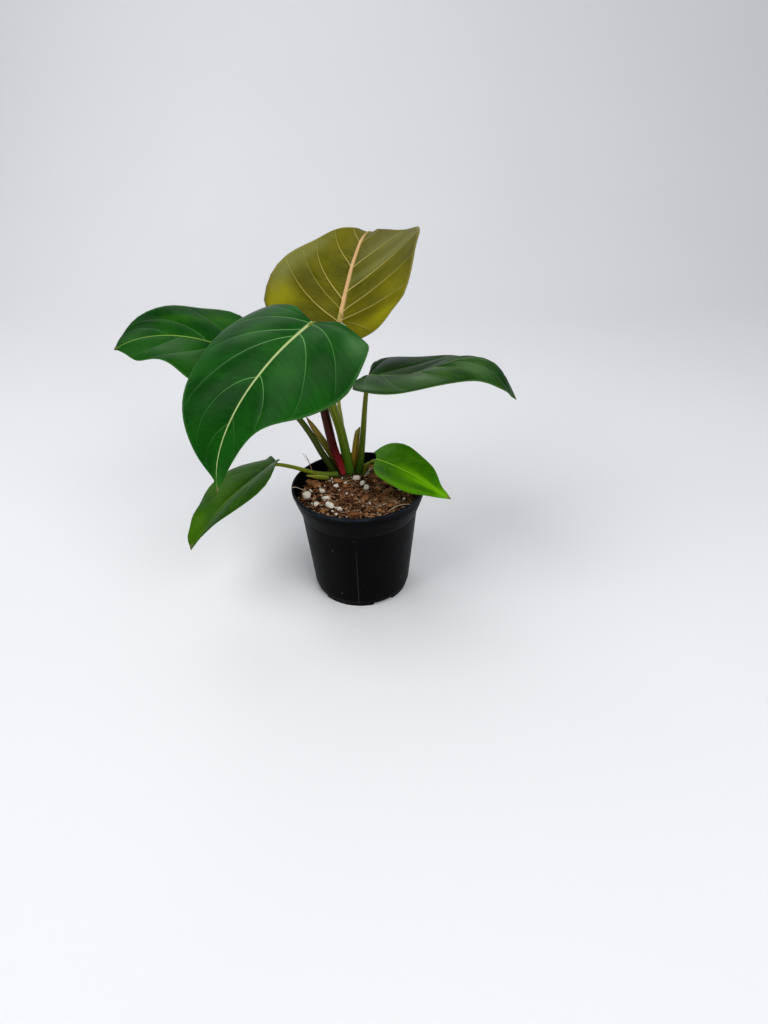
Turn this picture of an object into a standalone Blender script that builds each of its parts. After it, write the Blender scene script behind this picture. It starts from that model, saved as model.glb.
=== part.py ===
"""Potted philodendron: a young plant with six heart-shaped leaves in a black nursery pot.

Lengths are in millimetres and angles in degrees. add_piece turns lengths into metres.
The pot stands on Z = 0 with its axis on Z, +X is to the plant's right and -Y is its front.
"""

import bmesh
import bpy
import numpy as np
from mathutils import Vector
from mathutils.bvhtree import BVHTree

MM = 0.001

# Clearances
SEAT_GAP = 0.3  # between two pieces that touch
LOOSE_GAP = 0.4  # under a grain, chip or fibre that lies on the potting mix

# Pot
POT_HEIGHT = 116.0
RIM_RADIUS = 65.0
RIM_WIDTH = 2.6
LIP_HEIGHT = 4.0
RIM_OVERHANG = 2.2
COLLAR_HEIGHT = 26.0
COLLAR_TAPER = 4.2
COLLAR_STEP = 1.6
BODY_TAPER = 8.4
FOOT_INSET = 2.1
FOOT_WIDTH = 3.0
FOOT_HEIGHT = 3.2
FLOOR = 1.6
WALL = 1.2
PAD_RADIUS = 14.0
FOOT_NOTCHES = 4
NOTCH_FIRST = 28.0
NOTCH_ANGLE = 26.0
DRAIN_HOLES = 8
DRAIN_HOLE_RADIUS = 4.0
DRAIN_CIRCLE_RADIUS = 30.0
POT_SEGMENTS = 72

# Potting mix
HEADSPACE = 12.0  # from the rim down to the mix
MIX_DIP = 3.0  # how much lower it lies at the back
MIX_LUMP = 1.1  # height of its small lumps
MIX_SEGMENTS = POT_SEGMENTS // 2  # its corners line up with the pot's, so the gap stays even
MIX_RINGS = 9

# Crown, the stub of stem that all the leaf stalks grow from
CROWN_CENTRE = (-11.0, 40.0)
CROWN_HALF_SIZE = (18.5, 12.5)
CROWN_HEIGHT = 2.6

# Leaves
BLADE_THICKNESS = 0.9
MIDRIB_DEPTH = 0.9
FAN_SHARE = 0.3  # share of the margin whose veins fan out from the stalk
WAVES = 2.5  # ripples along one margin
BLADE_ROWS = 16
BLADE_COLUMNS = 4
STALK_SIDES = 8

COLLAR_TOP_RADIUS = RIM_RADIUS - RIM_OVERHANG
COLLAR_FOOT_RADIUS = COLLAR_TOP_RADIUS - COLLAR_TAPER
BODY_TOP_RADIUS = COLLAR_FOOT_RADIUS - COLLAR_STEP
BODY_FOOT_RADIUS = BODY_TOP_RADIUS - BODY_TAPER
FOOT_RADIUS = BODY_FOOT_RADIUS - FOOT_INSET
POT_TOP_MIX = POT_HEIGHT - HEADSPACE
CROWN_TOP = POT_TOP_MIX + SEAT_GAP + CROWN_HEIGHT
STALK_FOOT = CROWN_TOP + SEAT_GAP

# Colour, roughness and metallic value of each material
MATERIALS = {
    "pot_plastic": ((0.012, 0.013, 0.015), 0.42, 0.0),
    "potting_mix": ((0.070, 0.042, 0.026), 0.95, 0.0),
    "bark": ((0.210, 0.105, 0.048), 0.90, 0.0),
    "perlite": ((0.780, 0.730, 0.640), 0.90, 0.0),
    "root_fibre": ((0.560, 0.430, 0.270), 0.80, 0.0),
    "stem": ((0.110, 0.120, 0.030), 0.60, 0.0),
    "stalk_green": ((0.130, 0.190, 0.030), 0.38, 0.0),
    "new_leaf_red": ((0.190, 0.018, 0.020), 0.32, 0.0),
    "sheath": ((0.300, 0.260, 0.060), 0.50, 0.0),
    "leaf_dark": ((0.014, 0.075, 0.018), 0.30, 0.0),
    "leaf_bronze": ((0.105, 0.115, 0.022), 0.42, 0.0),
    "leaf_young": ((0.130, 0.330, 0.025), 0.38, 0.0),
}

# Each leaf blade. attach is where its stalk meets it, with its height above the mix. heading and
# rise are its direction there, roll turns it about its midrib, arch and droop bend it down along
# its length and at its tip, sweep turns it sideways and twist adds roll towards the tip.
# Pairs are (left, right). fold and curl say how far each half lifts at the midrib and then turns
# towards its margin, lobe_lift lifts the lobes behind the stalk. lobe, widest, shoulder, neck and
# drip shape the outline. wave is the height of the margin's ripple and wave_start its phase.
# hump raises the middle of the midrib and fold_change adds to fold towards the tip.
LEAVES = {
    "leaf_1": {
        "attach": (-12.8, 53.2, 153.7), "heading": 72.0, "rise": 51.8, "roll": -19.8,
        "length": 133.0, "half_width": 82.6, "arch": 30.7, "droop": 51.0, "sweep": 2.6,
        "twist": 19.2, "fold": (11.3, 9.3), "curl": (8.3, 12.4), "lobe_lift": -0.6,
        "lobe": 0.16, "widest": 0.11, "shoulder": (0.65, 0.79), "neck": (0.22, 0.16),
        "drip": (0.13, 0.14), "wave": (4.7, 2.6), "wave_start": (43.0, 12.0),
        "hump": 0.0, "fold_change": (0.0, 0.0),
    },
    "leaf_2": {
        "attach": (-29.2, -35.1, 181.2), "heading": 221.1, "rise": -19.5, "roll": 0.6,
        "length": 164.1, "half_width": 78.8, "arch": 44.0, "droop": 29.1, "sweep": -0.6,
        "twist": -24.6, "fold": (16.3, 18.9), "curl": (-50.2, -45.5), "lobe_lift": -2.3,
        "lobe": 0.04, "widest": 0.23, "shoulder": (0.41, 0.68), "neck": (0.19, 0.29),
        "drip": (0.09, 0.05), "wave": (-3.7, -1.5), "wave_start": (-18.0, -9.0),
        "hump": 0.0, "fold_change": (0.0, 0.0),
    },
    "leaf_3": {
        "attach": (-106.7, 41.2, 128.6), "heading": 186.2, "rise": 34.0, "roll": -12.4,
        "length": 116.5, "half_width": 59.9, "arch": 48.5, "droop": 15.9, "sweep": 5.1,
        "twist": -11.2, "fold": (0.4, 7.4), "curl": (-9.8, -11.4), "lobe_lift": 0.0,
        "lobe": 0.15, "widest": 0.16, "shoulder": (0.57, 0.60), "neck": (0.43, 0.42),
        "drip": (0.17, 0.20), "wave": (3.0, -3.5), "wave_start": (-118.0, 38.0),
        "hump": 0.0, "fold_change": (0.0, 0.0),
    },
    "leaf_4": {
        "attach": (12.2, 34.9, 107.8), "heading": -17.1, "rise": 9.5, "roll": -22.6,
        "length": 161.2, "half_width": 51.4, "arch": 133.5, "droop": -62.9, "sweep": 13.1,
        "twist": 15.1, "fold": (27.6, -10.3), "curl": (0.0, -9.6), "lobe_lift": -3.2,
        "lobe": 0.02, "widest": 0.17, "shoulder": (0.69, 0.65), "neck": (0.52, 0.49),
        "drip": (0.18, 0.22), "wave": (3.3, 2.6), "wave_start": (67.0, 67.0),
        "hump": 74.3, "fold_change": (-51.4, -16.1),
    },
    "leaf_5": {
        "attach": (-77.1, 1.1, 35.2), "heading": 211.5, "rise": -17.5, "roll": 22.5,
        "length": 118.1, "half_width": 44.4, "arch": 25.1, "droop": 20.4, "sweep": -0.9,
        "twist": -30.2, "fold": (25.2, 21.4), "curl": (-39.9, -36.5), "lobe_lift": 2.1,
        "lobe": 0.06, "widest": 0.20, "shoulder": (0.67, 0.80), "neck": (0.26, 0.30),
        "drip": (0.13, 0.18), "wave": (-1.7, 3.3), "wave_start": (27.0, 33.0),
        "hump": 0.0, "fold_change": (0.0, 0.0),
    },
    "leaf_6": {
        "attach": (17.7, 9.2, 32.8), "heading": -28.3, "rise": -4.0, "roll": 2.0,
        "length": 83.0, "half_width": 30.9, "arch": 31.5, "droop": -11.9, "sweep": 1.5,
        "twist": 20.5, "fold": (1.0, -0.7), "curl": (13.2, 26.1), "lobe_lift": -7.7,
        "lobe": 0.10, "widest": 0.20, "shoulder": (0.62, 0.73), "neck": (0.23, 0.30),
        "drip": (0.11, 0.11), "wave": (-1.0, -1.6), "wave_start": (-13.0, -33.0),
        "hump": 0.0, "fold_change": (0.0, 0.0),
    },
}
LEAF_MATERIAL = {"leaf_1": "leaf_bronze", "leaf_6": "leaf_young"}

# Each leaf stalk: (x, y) of its foot on the crown, the points it passes through on its way to
# its blade, with heights above the mix, and its radius at the foot and at the blade.
STALKS = {
    "petiole_1": ((-13.5, 48.5), [(-16.0, 50.0, 51.0), (-18.0, 51.0, 81.0)], 2.2, 1.7),
    "petiole_2": (
        (-10.5, 39.0),
        [(-12.0, 36.0, 18.0), (-16.5, 24.5, 58.0), (-22.5, 8.0, 94.0), (-27.0, -12.0, 139.0)],
        3.9, 2.4,
    ),
    "petiole_3": ((-25.0, 40.0), [(-36.0, 38.5, 23.0), (-58.0, 40.0, 64.0)], 2.9, 1.8),
    "petiole_4": (
        (-1.0, 39.0),
        [(1.5, 37.0, 17.0), (5.0, 34.0, 48.0), (8.5, 32.0, 84.0)],
        3.3, 1.6,
    ),
    "petiole_6": ((4.5, 36.0), [(7.0, 31.0, 11.5), (12.0, 21.0, 23.0)], 1.9, 1.3),
}
# The lowest stalk leaves the side of the crown and passes over the rim.
LOW_STALK = [(-21.5, 30.0, 5.4), (-32.0, 29.0, 6.0), (-45.0, 26.0, 9.5), (-62.0, 16.0, 21.5)]
LOW_STALK_RADII = (2.3, 1.6)

# Sheaths and the rolled new leaf: their points, with heights above the mix, and their radius at
# each point. The first point of a piece that stands on the crown is moved onto it.
NEW_LEAF = {
    "points": [(-16.5, 34.2, 0.0), (-19.5, 32.5, 18.0), (-25.0, 30.0, 39.0),
               (-31.0, 29.5, 77.0), (-38.0, 31.0, 110.0), (-42.0, 32.0, 130.0)],
    "radii": (2.6, 3.1, 3.6, 3.7, 2.6, 0.5),
}
SHEATHS = {
    "sheath_left": {
        "points": [(-20.5, 47.5, 0.0), (-26.0, 45.5, 17.0), (-35.0, 43.5, 35.0),
                   (-50.0, 41.0, 64.0)],
        "radii": (2.3, 2.8, 2.4, 0.5),
    },
    "sheath_right": {
        "points": [(-5.5, 47.0, 0.0), (-4.5, 44.0, 16.0), (-2.5, 41.5, 34.0),
                   (0.0, 38.5, 51.0)],
        "radii": (2.4, 2.9, 2.4, 1.8),
    },
    "sheath_small": {
        "points": [(3.5, 43.5, 0.0), (6.0, 40.5, 8.5), (10.5, 36.5, 15.5)],
        "radii": (1.7, 1.7, 0.5),
    },
}
LOW_SHEATH = {
    "points": [(-31.0, 24.6, 4.4), (-40.0, 23.0, 6.5), (-52.0, 18.5, 11.0)],
    "radii": (2.1, 2.2, 0.7),
}

# Loose pieces on the mix: (x, y), full size along its own axes, turn about Z
PERLITE_GRAINS = [
    ((-50.0, -7.0), (9.5, 8.5, 7.5), 20),
    ((-36.0, 2.0), (5.0, 6.5, 4.5), 70),
    ((-32.0, -11.0), (9.0, 6.5, 5.0), 10),
    ((-40.0, -21.0), (6.5, 5.0, 4.0), 30),
    ((-27.0, -25.5), (9.5, 6.5, 5.5), -30),
    ((-17.5, -31.0), (5.5, 5.0, 4.0), 0),
    ((-23.0, 12.0), (6.0, 5.0, 4.0), 45),
    ((-14.0, 16.5), (4.0, 5.0, 3.5), 0),
    ((-2.5, 25.0), (9.0, 6.5, 6.0), -10),
    ((3.5, 16.5), (6.0, 5.0, 4.5), 25),
    ((7.5, 6.0), (6.0, 9.0, 5.0), 15),
    ((41.0, 3.0), (6.0, 5.0, 4.0), 0),
    ((24.0, 49.0), (5.0, 4.0, 3.5), 30),
]
BARK_CHIPS = [
    ((15.0, 28.5), (14.0, 8.0, 3.4), -25),
    ((29.0, 15.0), (15.0, 7.0, 3.2), -20),
    ((-48.0, 21.0), (12.0, 6.0, 3.0), 15),
    ((-42.0, 14.5), (10.0, 6.0, 2.6), 35),
    ((-21.0, 22.0), (9.0, 6.0, 2.4), 5),
    ((-39.5, 37.5), (11.0, 5.0, 2.6), 47),
    ((6.0, -11.0), (9.0, 6.0, 2.8), 50),
    ((22.0, -8.0), (13.0, 5.0, 2.6), 15),
    ((40.0, 22.0), (12.0, 7.0, 3.0), 60),
    ((10.5, 52.0), (10.0, 6.0, 3.0), -10),
    ((-4.0, -40.0), (12.0, 5.0, 2.4), 5),
]
# Fibres: points with heights above the level of the mix, and radius
FIBRES = {
    "root_arch": ([(5.0, 29.5, 4.0), (13.5, 38.5, 8.5), (27.0, 36.0, 4.0), (34.0, 32.0, 2.0)], 0.7),
    "fibre_left": ([(-64.5, -7.0, 13.6), (-60.0, -6.0, 13.4), (-55.0, 1.5, 6.0), (-47.0, 3.0, 2.0)], 0.5),
    "fibre_front": ([(10.0, -32.0, 2.0), (21.0, -27.0, 3.5), (32.0, -18.0, 2.5), (40.0, -10.0, 2.0)], 0.5),
    "fibre_right": ([(27.0, -36.0, 2.0), (38.0, -29.0, 4.5), (49.0, -28.0, 5.0), (53.0, -20.0, 2.0)], 0.5),
    "hair_rear_1": ([(-46.0, 29.0, 1.5), (-48.5, 31.0, 14.0), (-51.0, 32.0, 22.0), (-56.0, 32.5, 30.0)], 0.45),
    "hair_rear_2": ([(-46.5, 33.0, 1.5), (-48.5, 34.0, 12.0), (-51.0, 35.5, 20.0), (-53.5, 36.5, 27.0)], 0.45),
}


# ---------------------------------------------------------------- scene helpers


def clear_scene():
    for old in list(bpy.data.objects):
        bpy.data.objects.remove(old, do_unlink=True)


def make_material(name):
    colour, roughness, metallic = MATERIALS[name]
    material = bpy.data.materials.get(name) or bpy.data.materials.new(name)
    material.use_nodes = True
    surface = material.node_tree.nodes["Principled BSDF"]
    surface.inputs["Base Color"].default_value = (*colour, 1.0)
    surface.inputs["Roughness"].default_value = roughness
    surface.inputs["Metallic"].default_value = metallic
    return material


def add_piece(name, points, faces, material, smooth_angle=40.0):
    """One object from points in millimetres, in triangles, with its faces turned outwards."""
    mesh = bpy.data.meshes.new(name)
    mesh.from_pydata([tuple(float(v) * MM for v in p) for p in points], [], faces)
    mesh.validate()
    shape = bmesh.new()
    shape.from_mesh(mesh)
    bmesh.ops.recalc_face_normals(shape, faces=shape.faces)
    bmesh.ops.triangulate(shape, faces=shape.faces)
    shape.to_mesh(mesh)
    shape.free()
    mesh.shade_smooth()
    mesh.set_sharp_from_angle(angle=np.radians(smooth_angle))
    piece = bpy.data.objects.new(name, mesh)
    piece.data.materials.append(make_material(material))
    bpy.context.scene.collection.objects.link(piece)
    return piece


def apply_modifiers(piece):
    evaluated = piece.evaluated_get(bpy.context.evaluated_depsgraph_get())
    mesh = bpy.data.meshes.new_from_object(evaluated)
    piece.modifiers.clear()
    piece.data = mesh


# ---------------------------------------------------------------- curves and tubes


def smooth_curve(points, count):
    """count + 1 even points along a Catmull-Rom curve through the given points."""
    given = np.asarray(points, float)
    ends = np.vstack([2 * given[0] - given[1], given, 2 * given[-1] - given[-2]])
    spans = len(given) - 1
    place = np.linspace(0.0, spans, count * 8 + 1)
    span = np.minimum(place.astype(int), spans - 1)
    part = (place - span)[:, None]
    a, b, c, d = (ends[span + k] for k in range(4))
    curve = 0.5 * (
        2 * b + (c - a) * part + (2 * a - 5 * b + 4 * c - d) * part**2
        + (3 * b - a - 3 * c + d) * part**3
    )
    walked = np.concatenate([[0.0], np.cumsum(np.linalg.norm(np.diff(curve, axis=0), axis=1))])
    even = np.linspace(0.0, walked[-1], count + 1)
    return np.stack([np.interp(even, walked, curve[:, k]) for k in range(curve.shape[1])], axis=1)


def tube(points, radii, sides=STALK_SIDES, rings=10, flat_foot=False):
    """Points and faces of a closed tube along a smooth curve, its radius changing on the way."""
    with_radius = np.column_stack([np.asarray(points, float), radii])
    path = smooth_curve(with_radius, rings)
    centres, sizes = path[:, :3], path[:, 3]
    ahead = np.gradient(centres, axis=0)
    ahead /= np.linalg.norm(ahead, axis=1)[:, None]
    if flat_foot:
        ahead[0] = (0.0, 0.0, 1.0)
    side = np.cross(ahead[0], (0.0, 1.0, 0.0) if abs(ahead[0][1]) < 0.9 else (1.0, 0.0, 0.0))
    angles = np.linspace(0.0, 2 * np.pi, sides, endpoint=False)
    verts = []
    for centre, size, forward in zip(centres, sizes, ahead):
        side = side - forward * side.dot(forward)
        side /= np.linalg.norm(side)
        up = np.cross(forward, side)
        verts += [centre + size * (np.cos(t) * side + np.sin(t) * up) for t in angles]
    faces = [tuple(reversed(range(sides))), tuple(range(rings * sides, (rings + 1) * sides))]
    for ring in range(rings):
        low, high = ring * sides, (ring + 1) * sides
        for k in range(sides):
            after = (k + 1) % sides
            faces.append((low + k, low + after, high + after, high + k))
    return np.array(verts), faces


# ---------------------------------------------------------------- pot


def pot_profile():
    """Radius and height round the pot's section, from the pad under its floor and back to it."""
    floor_top = FOOT_HEIGHT + FLOOR
    collar_foot = POT_HEIGHT - COLLAR_HEIGHT
    collar_mid = POT_HEIGHT - 0.85 * COLLAR_HEIGHT
    lip_foot = POT_HEIGHT - LIP_HEIGHT
    inner_foot = FOOT_RADIUS - FOOT_WIDTH
    return [
        (0.0, 0.0),
        (PAD_RADIUS, 0.0),
        (PAD_RADIUS + 1.0, FOOT_HEIGHT),
        (inner_foot, FOOT_HEIGHT),
        (inner_foot, 0.0),
        (FOOT_RADIUS, 0.0),
        (FOOT_RADIUS + 0.5, FOOT_HEIGHT),
        (BODY_FOOT_RADIUS, FOOT_HEIGHT + 4.5),
        (BODY_TOP_RADIUS, collar_foot),
        (COLLAR_FOOT_RADIUS, collar_mid),
        (COLLAR_TOP_RADIUS, lip_foot - 6.0),
        (COLLAR_TOP_RADIUS + 0.8, lip_foot),
        (RIM_RADIUS - 0.3, lip_foot + 0.5),
        (RIM_RADIUS, POT_HEIGHT - 1.6),
        (RIM_RADIUS - 0.5, POT_HEIGHT - 0.4),
        (RIM_RADIUS - 1.3, POT_HEIGHT),
        (RIM_RADIUS - RIM_WIDTH + 0.6, POT_HEIGHT - 0.3),
        (RIM_RADIUS - RIM_WIDTH, POT_HEIGHT - 1.2),
        (COLLAR_TOP_RADIUS - WALL, lip_foot - 6.0),
        (COLLAR_FOOT_RADIUS - WALL, collar_mid),
        (BODY_TOP_RADIUS - WALL, collar_foot),
        (BODY_FOOT_RADIUS - WALL, floor_top),
        (0.0, floor_top),
    ]


def in_notch(angle):
    """True where the ring that the pot stands on is cut away."""
    pitch = 360.0 / FOOT_NOTCHES
    away = (angle - NOTCH_FIRST + pitch / 2) % pitch - pitch / 2
    return abs(away) < NOTCH_ANGLE / 2


def build_pot():
    profile = pot_profile()
    rings = profile[1:-1]
    verts = []
    for step in range(POT_SEGMENTS):
        angle = 360.0 * step / POT_SEGMENTS
        turn = np.radians(angle)
        for index, (radius, height) in enumerate(rings, start=1):
            if index in (4, 5) and in_notch(angle):
                height = FOOT_HEIGHT - 0.5
            verts.append((radius * np.cos(turn), radius * np.sin(turn), height))
    under, over = len(verts), len(verts) + 1
    verts += [(0.0, 0.0, profile[0][1]), (0.0, 0.0, profile[-1][1])]
    faces = []
    count = len(rings)
    for step in range(POT_SEGMENTS):
        here, there = step * count, (step + 1) % POT_SEGMENTS * count
        faces.append((under, here, there))
        faces.append((over, there + count - 1, here + count - 1))
        faces += [(here + k, here + k + 1, there + k + 1, there + k) for k in range(count - 1)]
    pot = add_piece("nursery_pot", verts, faces, "pot_plastic", smooth_angle=30.0)
    drain_cutter = build_drain_cutter()
    cut = pot.modifiers.new("drain_holes", "BOOLEAN")
    cut.object = drain_cutter
    cut.operation = "DIFFERENCE"
    cut.solver = "EXACT"
    bpy.context.view_layer.update()
    apply_modifiers(pot)
    bpy.data.objects.remove(drain_cutter, do_unlink=True)
    return pot


def build_drain_cutter():
    """The ring of plain cylinders that bores the drain holes through the floor."""
    verts, faces = [], []
    sides = 12
    for hole in range(DRAIN_HOLES):
        turn = 2 * np.pi * (hole + 0.5) / DRAIN_HOLES
        centre = DRAIN_CIRCLE_RADIUS * np.array([np.cos(turn), np.sin(turn)])
        base = len(verts)
        for height in (FOOT_HEIGHT - 2.0, FOOT_HEIGHT + FLOOR + 2.0):
            for side in range(sides):
                around = 2 * np.pi * side / sides
                rim = centre + DRAIN_HOLE_RADIUS * np.array([np.cos(around), np.sin(around)])
                verts.append((rim[0], rim[1], height))
        faces.append(tuple(reversed(range(base, base + sides))))
        faces.append(tuple(range(base + sides, base + 2 * sides)))
        for side in range(sides):
            after = (side + 1) % sides
            faces.append((base + side, base + after, base + sides + after, base + sides + side))
    cutter = add_piece("drain_cutter", verts, faces, "pot_plastic")
    cutter.hide_render = True
    cutter.display_type = "WIRE"
    return cutter


def inner_radius(height):
    """Radius of the pot's inside wall."""
    wall = sorted((z, r) for r, z in pot_profile()[17:22])
    return float(np.interp(height, [z for z, _ in wall], [r for _, r in wall]))


# ---------------------------------------------------------------- potting mix


def crown_distance(x, y):
    """0 at the crown's centre, 1 at its edge."""
    across = (x - CROWN_CENTRE[0]) / CROWN_HALF_SIZE[0]
    along = (y - CROWN_CENTRE[1]) / CROWN_HALF_SIZE[1]
    return np.hypot(across, along)


def mix_height(x, y):
    """Top of the mix: lumpy, lower at the back, level and flat under the crown."""
    lumps = np.sin(0.23 * x + 1.0) * np.cos(0.27 * y) + 0.6 * np.sin(0.41 * x - 0.37 * y + 2.0)
    back = np.clip((y - 20.0) / 40.0, 0.0, 1.0)
    uneven = MIX_LUMP * lumps * 0.6 - MIX_DIP * back**2
    near = np.clip((crown_distance(x, y) - 1.15) / 0.5, 0.0, 1.0)
    return POT_TOP_MIX + uneven * near


def build_potting_mix():
    floor = FOOT_HEIGHT + FLOOR + SEAT_GAP
    lowest_edge = POT_TOP_MIX - MIX_DIP - MIX_LUMP
    levels = [POT_HEIGHT - 0.85 * COLLAR_HEIGHT, POT_HEIGHT - COLLAR_HEIGHT, floor]
    verts = [(0.0, 0.0, float(mix_height(0.0, 0.0)))]
    for share in np.linspace(0.0, 1.0, MIX_RINGS + 1)[1:]:
        for step in range(MIX_SEGMENTS):
            turn = 2 * np.pi * step / MIX_SEGMENTS
            radius = share * wall_radius(lowest_edge)
            x, y = radius * np.cos(turn), radius * np.sin(turn)
            verts.append((x, y, float(mix_height(x, y))))
    for level in levels:
        for step in range(MIX_SEGMENTS):
            turn = 2 * np.pi * step / MIX_SEGMENTS
            verts.append((wall_radius(level) * np.cos(turn), wall_radius(level) * np.sin(turn), level))
    faces = []
    layers = MIX_RINGS + len(levels)
    for step in range(MIX_SEGMENTS):
        after = (step + 1) % MIX_SEGMENTS
        faces.append((0, 1 + step, 1 + after))
        for layer in range(layers - 1):
            low, high = 1 + layer * MIX_SEGMENTS, 1 + (layer + 1) * MIX_SEGMENTS
            faces.append((low + step, high + step, high + after, low + after))
    last = 1 + (layers - 1) * MIX_SEGMENTS
    faces.append(tuple(reversed(range(last, last + MIX_SEGMENTS))))
    return add_piece("potting_mix", verts, faces, "potting_mix")


def wall_radius(height):
    """Outside radius of the mix, clear of the pot's wall."""
    return inner_radius(height) - SEAT_GAP


def surface_of(piece):
    """A search tree over a piece's surface, in millimetres."""
    points = [tuple(v.co / MM) for v in piece.data.vertices]
    return BVHTree.FromPolygons(points, [tuple(p.vertices) for p in piece.data.polygons])


def settle(points, grounds):
    """Lowers or lifts loose points until the nearest one is LOOSE_GAP above the grounds."""
    above = []
    for x, y, z in points:
        for ground in grounds:
            hit = ground.ray_cast(Vector((x, y, POT_HEIGHT + 60.0)), Vector((0.0, 0.0, -1.0)))
            if hit[0] is not None:
                above.append(z - hit[0].z)
    points = np.array(points)
    points[:, 2] -= min(above) - LOOSE_GAP
    return points


# ---------------------------------------------------------------- crown, stalks and sheaths


def build_crown():
    """A low oval stub with an uneven edge, flat where the stalks stand on it."""
    sides = 28
    layers = [(1.0, 0.0), (1.05, 0.45), (0.98, 0.85), (0.90, 1.0)]
    verts = []
    for share, rise in layers:
        for side in range(sides):
            turn = 2 * np.pi * side / sides
            wave = 1.0 + 0.035 * np.sin(5 * turn + 0.6)
            x = CROWN_CENTRE[0] + CROWN_HALF_SIZE[0] * share * wave * np.cos(turn)
            y = CROWN_CENTRE[1] + CROWN_HALF_SIZE[1] * share * wave * np.sin(turn)
            verts.append((x, y, POT_TOP_MIX + SEAT_GAP + CROWN_HEIGHT * rise))
    faces = [tuple(reversed(range(sides))), tuple(range(3 * sides, 4 * sides))]
    for layer in range(len(layers) - 1):
        for side in range(sides):
            after = (side + 1) % sides
            low, high = layer * sides, (layer + 1) * sides
            faces.append((low + side, low + after, high + after, high + side))
    return add_piece("crown", verts, faces, "stem")


def above_mix(points):
    """Points whose heights are given above the level of the mix."""
    return [(x, y, POT_TOP_MIX + height) for x, y, height in points]


def stalk_end(leaf, blade, before, radius):
    """Where a stalk stops: its slanting end is moved up until it is SEAT_GAP under the blade."""
    centre, forward, left, up = (part[0] for part in blade_frame(leaf, np.array([0.0])))
    arriving = centre - np.array(before)
    arriving /= np.linalg.norm(arriving)
    across = np.cross(arriving, left)
    across /= np.linalg.norm(across)
    along = np.cross(across, arriving)
    turns = np.linspace(0.0, 2 * np.pi, 2 * STALK_SIDES, endpoint=False)
    rim = radius * np.array([np.cos(t) * across + np.sin(t) * along for t in turns])
    drop = BLADE_THICKNESS + MIDRIB_DEPTH + SEAT_GAP + radius
    for _ in range(8):
        end = centre - up * drop
        gap = min(blade.find_nearest(Vector(end + spot))[3] for spot in rim)
        drop -= gap - SEAT_GAP
    return tuple(centre - up * drop)


def build_stalks(leaves, blades):
    """The stalks, each ending under its blade."""
    for name, (foot, path, foot_radius, top_radius) in STALKS.items():
        leaf = "leaf_" + name[-1]
        path = above_mix(path)
        end = stalk_end(leaves[leaf], blades[leaf], path[-1], top_radius)
        points = [(foot[0], foot[1], STALK_FOOT)] + path + [end]
        radii = np.linspace(foot_radius, top_radius, len(points))
        verts, faces = tube(points, radii, flat_foot=True)
        add_piece(name, verts, faces, "stalk_green")
    path = above_mix(LOW_STALK)
    end = stalk_end(leaves["leaf_5"], blades["leaf_5"], path[-1], LOW_STALK_RADII[1])
    points = path + [end]
    radii = np.linspace(*LOW_STALK_RADII, len(points))
    verts, faces = tube(points, radii)
    add_piece("petiole_5", verts, faces, "stalk_green")


def on_crown(points):
    """Points above the mix, the first one moved onto the top of the crown."""
    x, y, _ = points[0]
    return [(x, y, STALK_FOOT)] + above_mix(points[1:])


def build_sheaths():
    verts, faces = tube(on_crown(NEW_LEAF["points"]), NEW_LEAF["radii"], flat_foot=True)
    add_piece("new_leaf_spike", verts, faces, "new_leaf_red")
    for name, sheath in SHEATHS.items():
        verts, faces = tube(on_crown(sheath["points"]), sheath["radii"], rings=7, flat_foot=True)
        add_piece(name, verts, faces, "sheath")
    verts, faces = tube(above_mix(LOW_SHEATH["points"]), LOW_SHEATH["radii"], rings=5)
    add_piece("sheath_low", verts, faces, "sheath")


# ---------------------------------------------------------------- leaf blades


def blade_outline(leaf, half, count):
    """Half of the flat outline, from the back of the lobe to the tip: (along, across)."""
    lobe, widest, shoulder = leaf["lobe"], leaf["widest"], leaf["shoulder"][half]
    points = [
        (-lobe, 0.36),
        (-0.72 * lobe, 0.68),
        (0.02, 0.90),
        (widest, 1.0),
        (0.5 * (widest + 0.62), 0.5 * (1.0 + shoulder) + 0.05),
        (0.62, shoulder),
        (0.82, leaf["neck"][half]),
        (0.93, leaf["drip"][half]),
        (1.0, 0.0),
    ]
    return smooth_curve(points, count) * (leaf["length"], leaf["half_width"])


def flat_half(leaf, half, rows, columns):
    """Grid of one half of the flat blade; each row is a side vein, out to the margin."""
    margin = blade_outline(leaf, half, rows)
    share = np.linspace(0.0, 1.0, rows + 1)
    along = np.clip((share - FAN_SHARE) / (1 - FAN_SHARE), 0.0, 1.0) ** 1.15 * leaf["length"]
    start = np.stack([along, np.zeros_like(along)], axis=1)
    bend = np.stack([along + 0.3 * (margin[:, 0] - along), 0.52 * margin[:, 1]], axis=1)
    out = np.linspace(0.0, 1.0, columns + 1)[None, :, None]
    return (1 - out) ** 2 * start[:, None] + 2 * out * (1 - out) * bend[:, None] + out**2 * margin[:, None]


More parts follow.
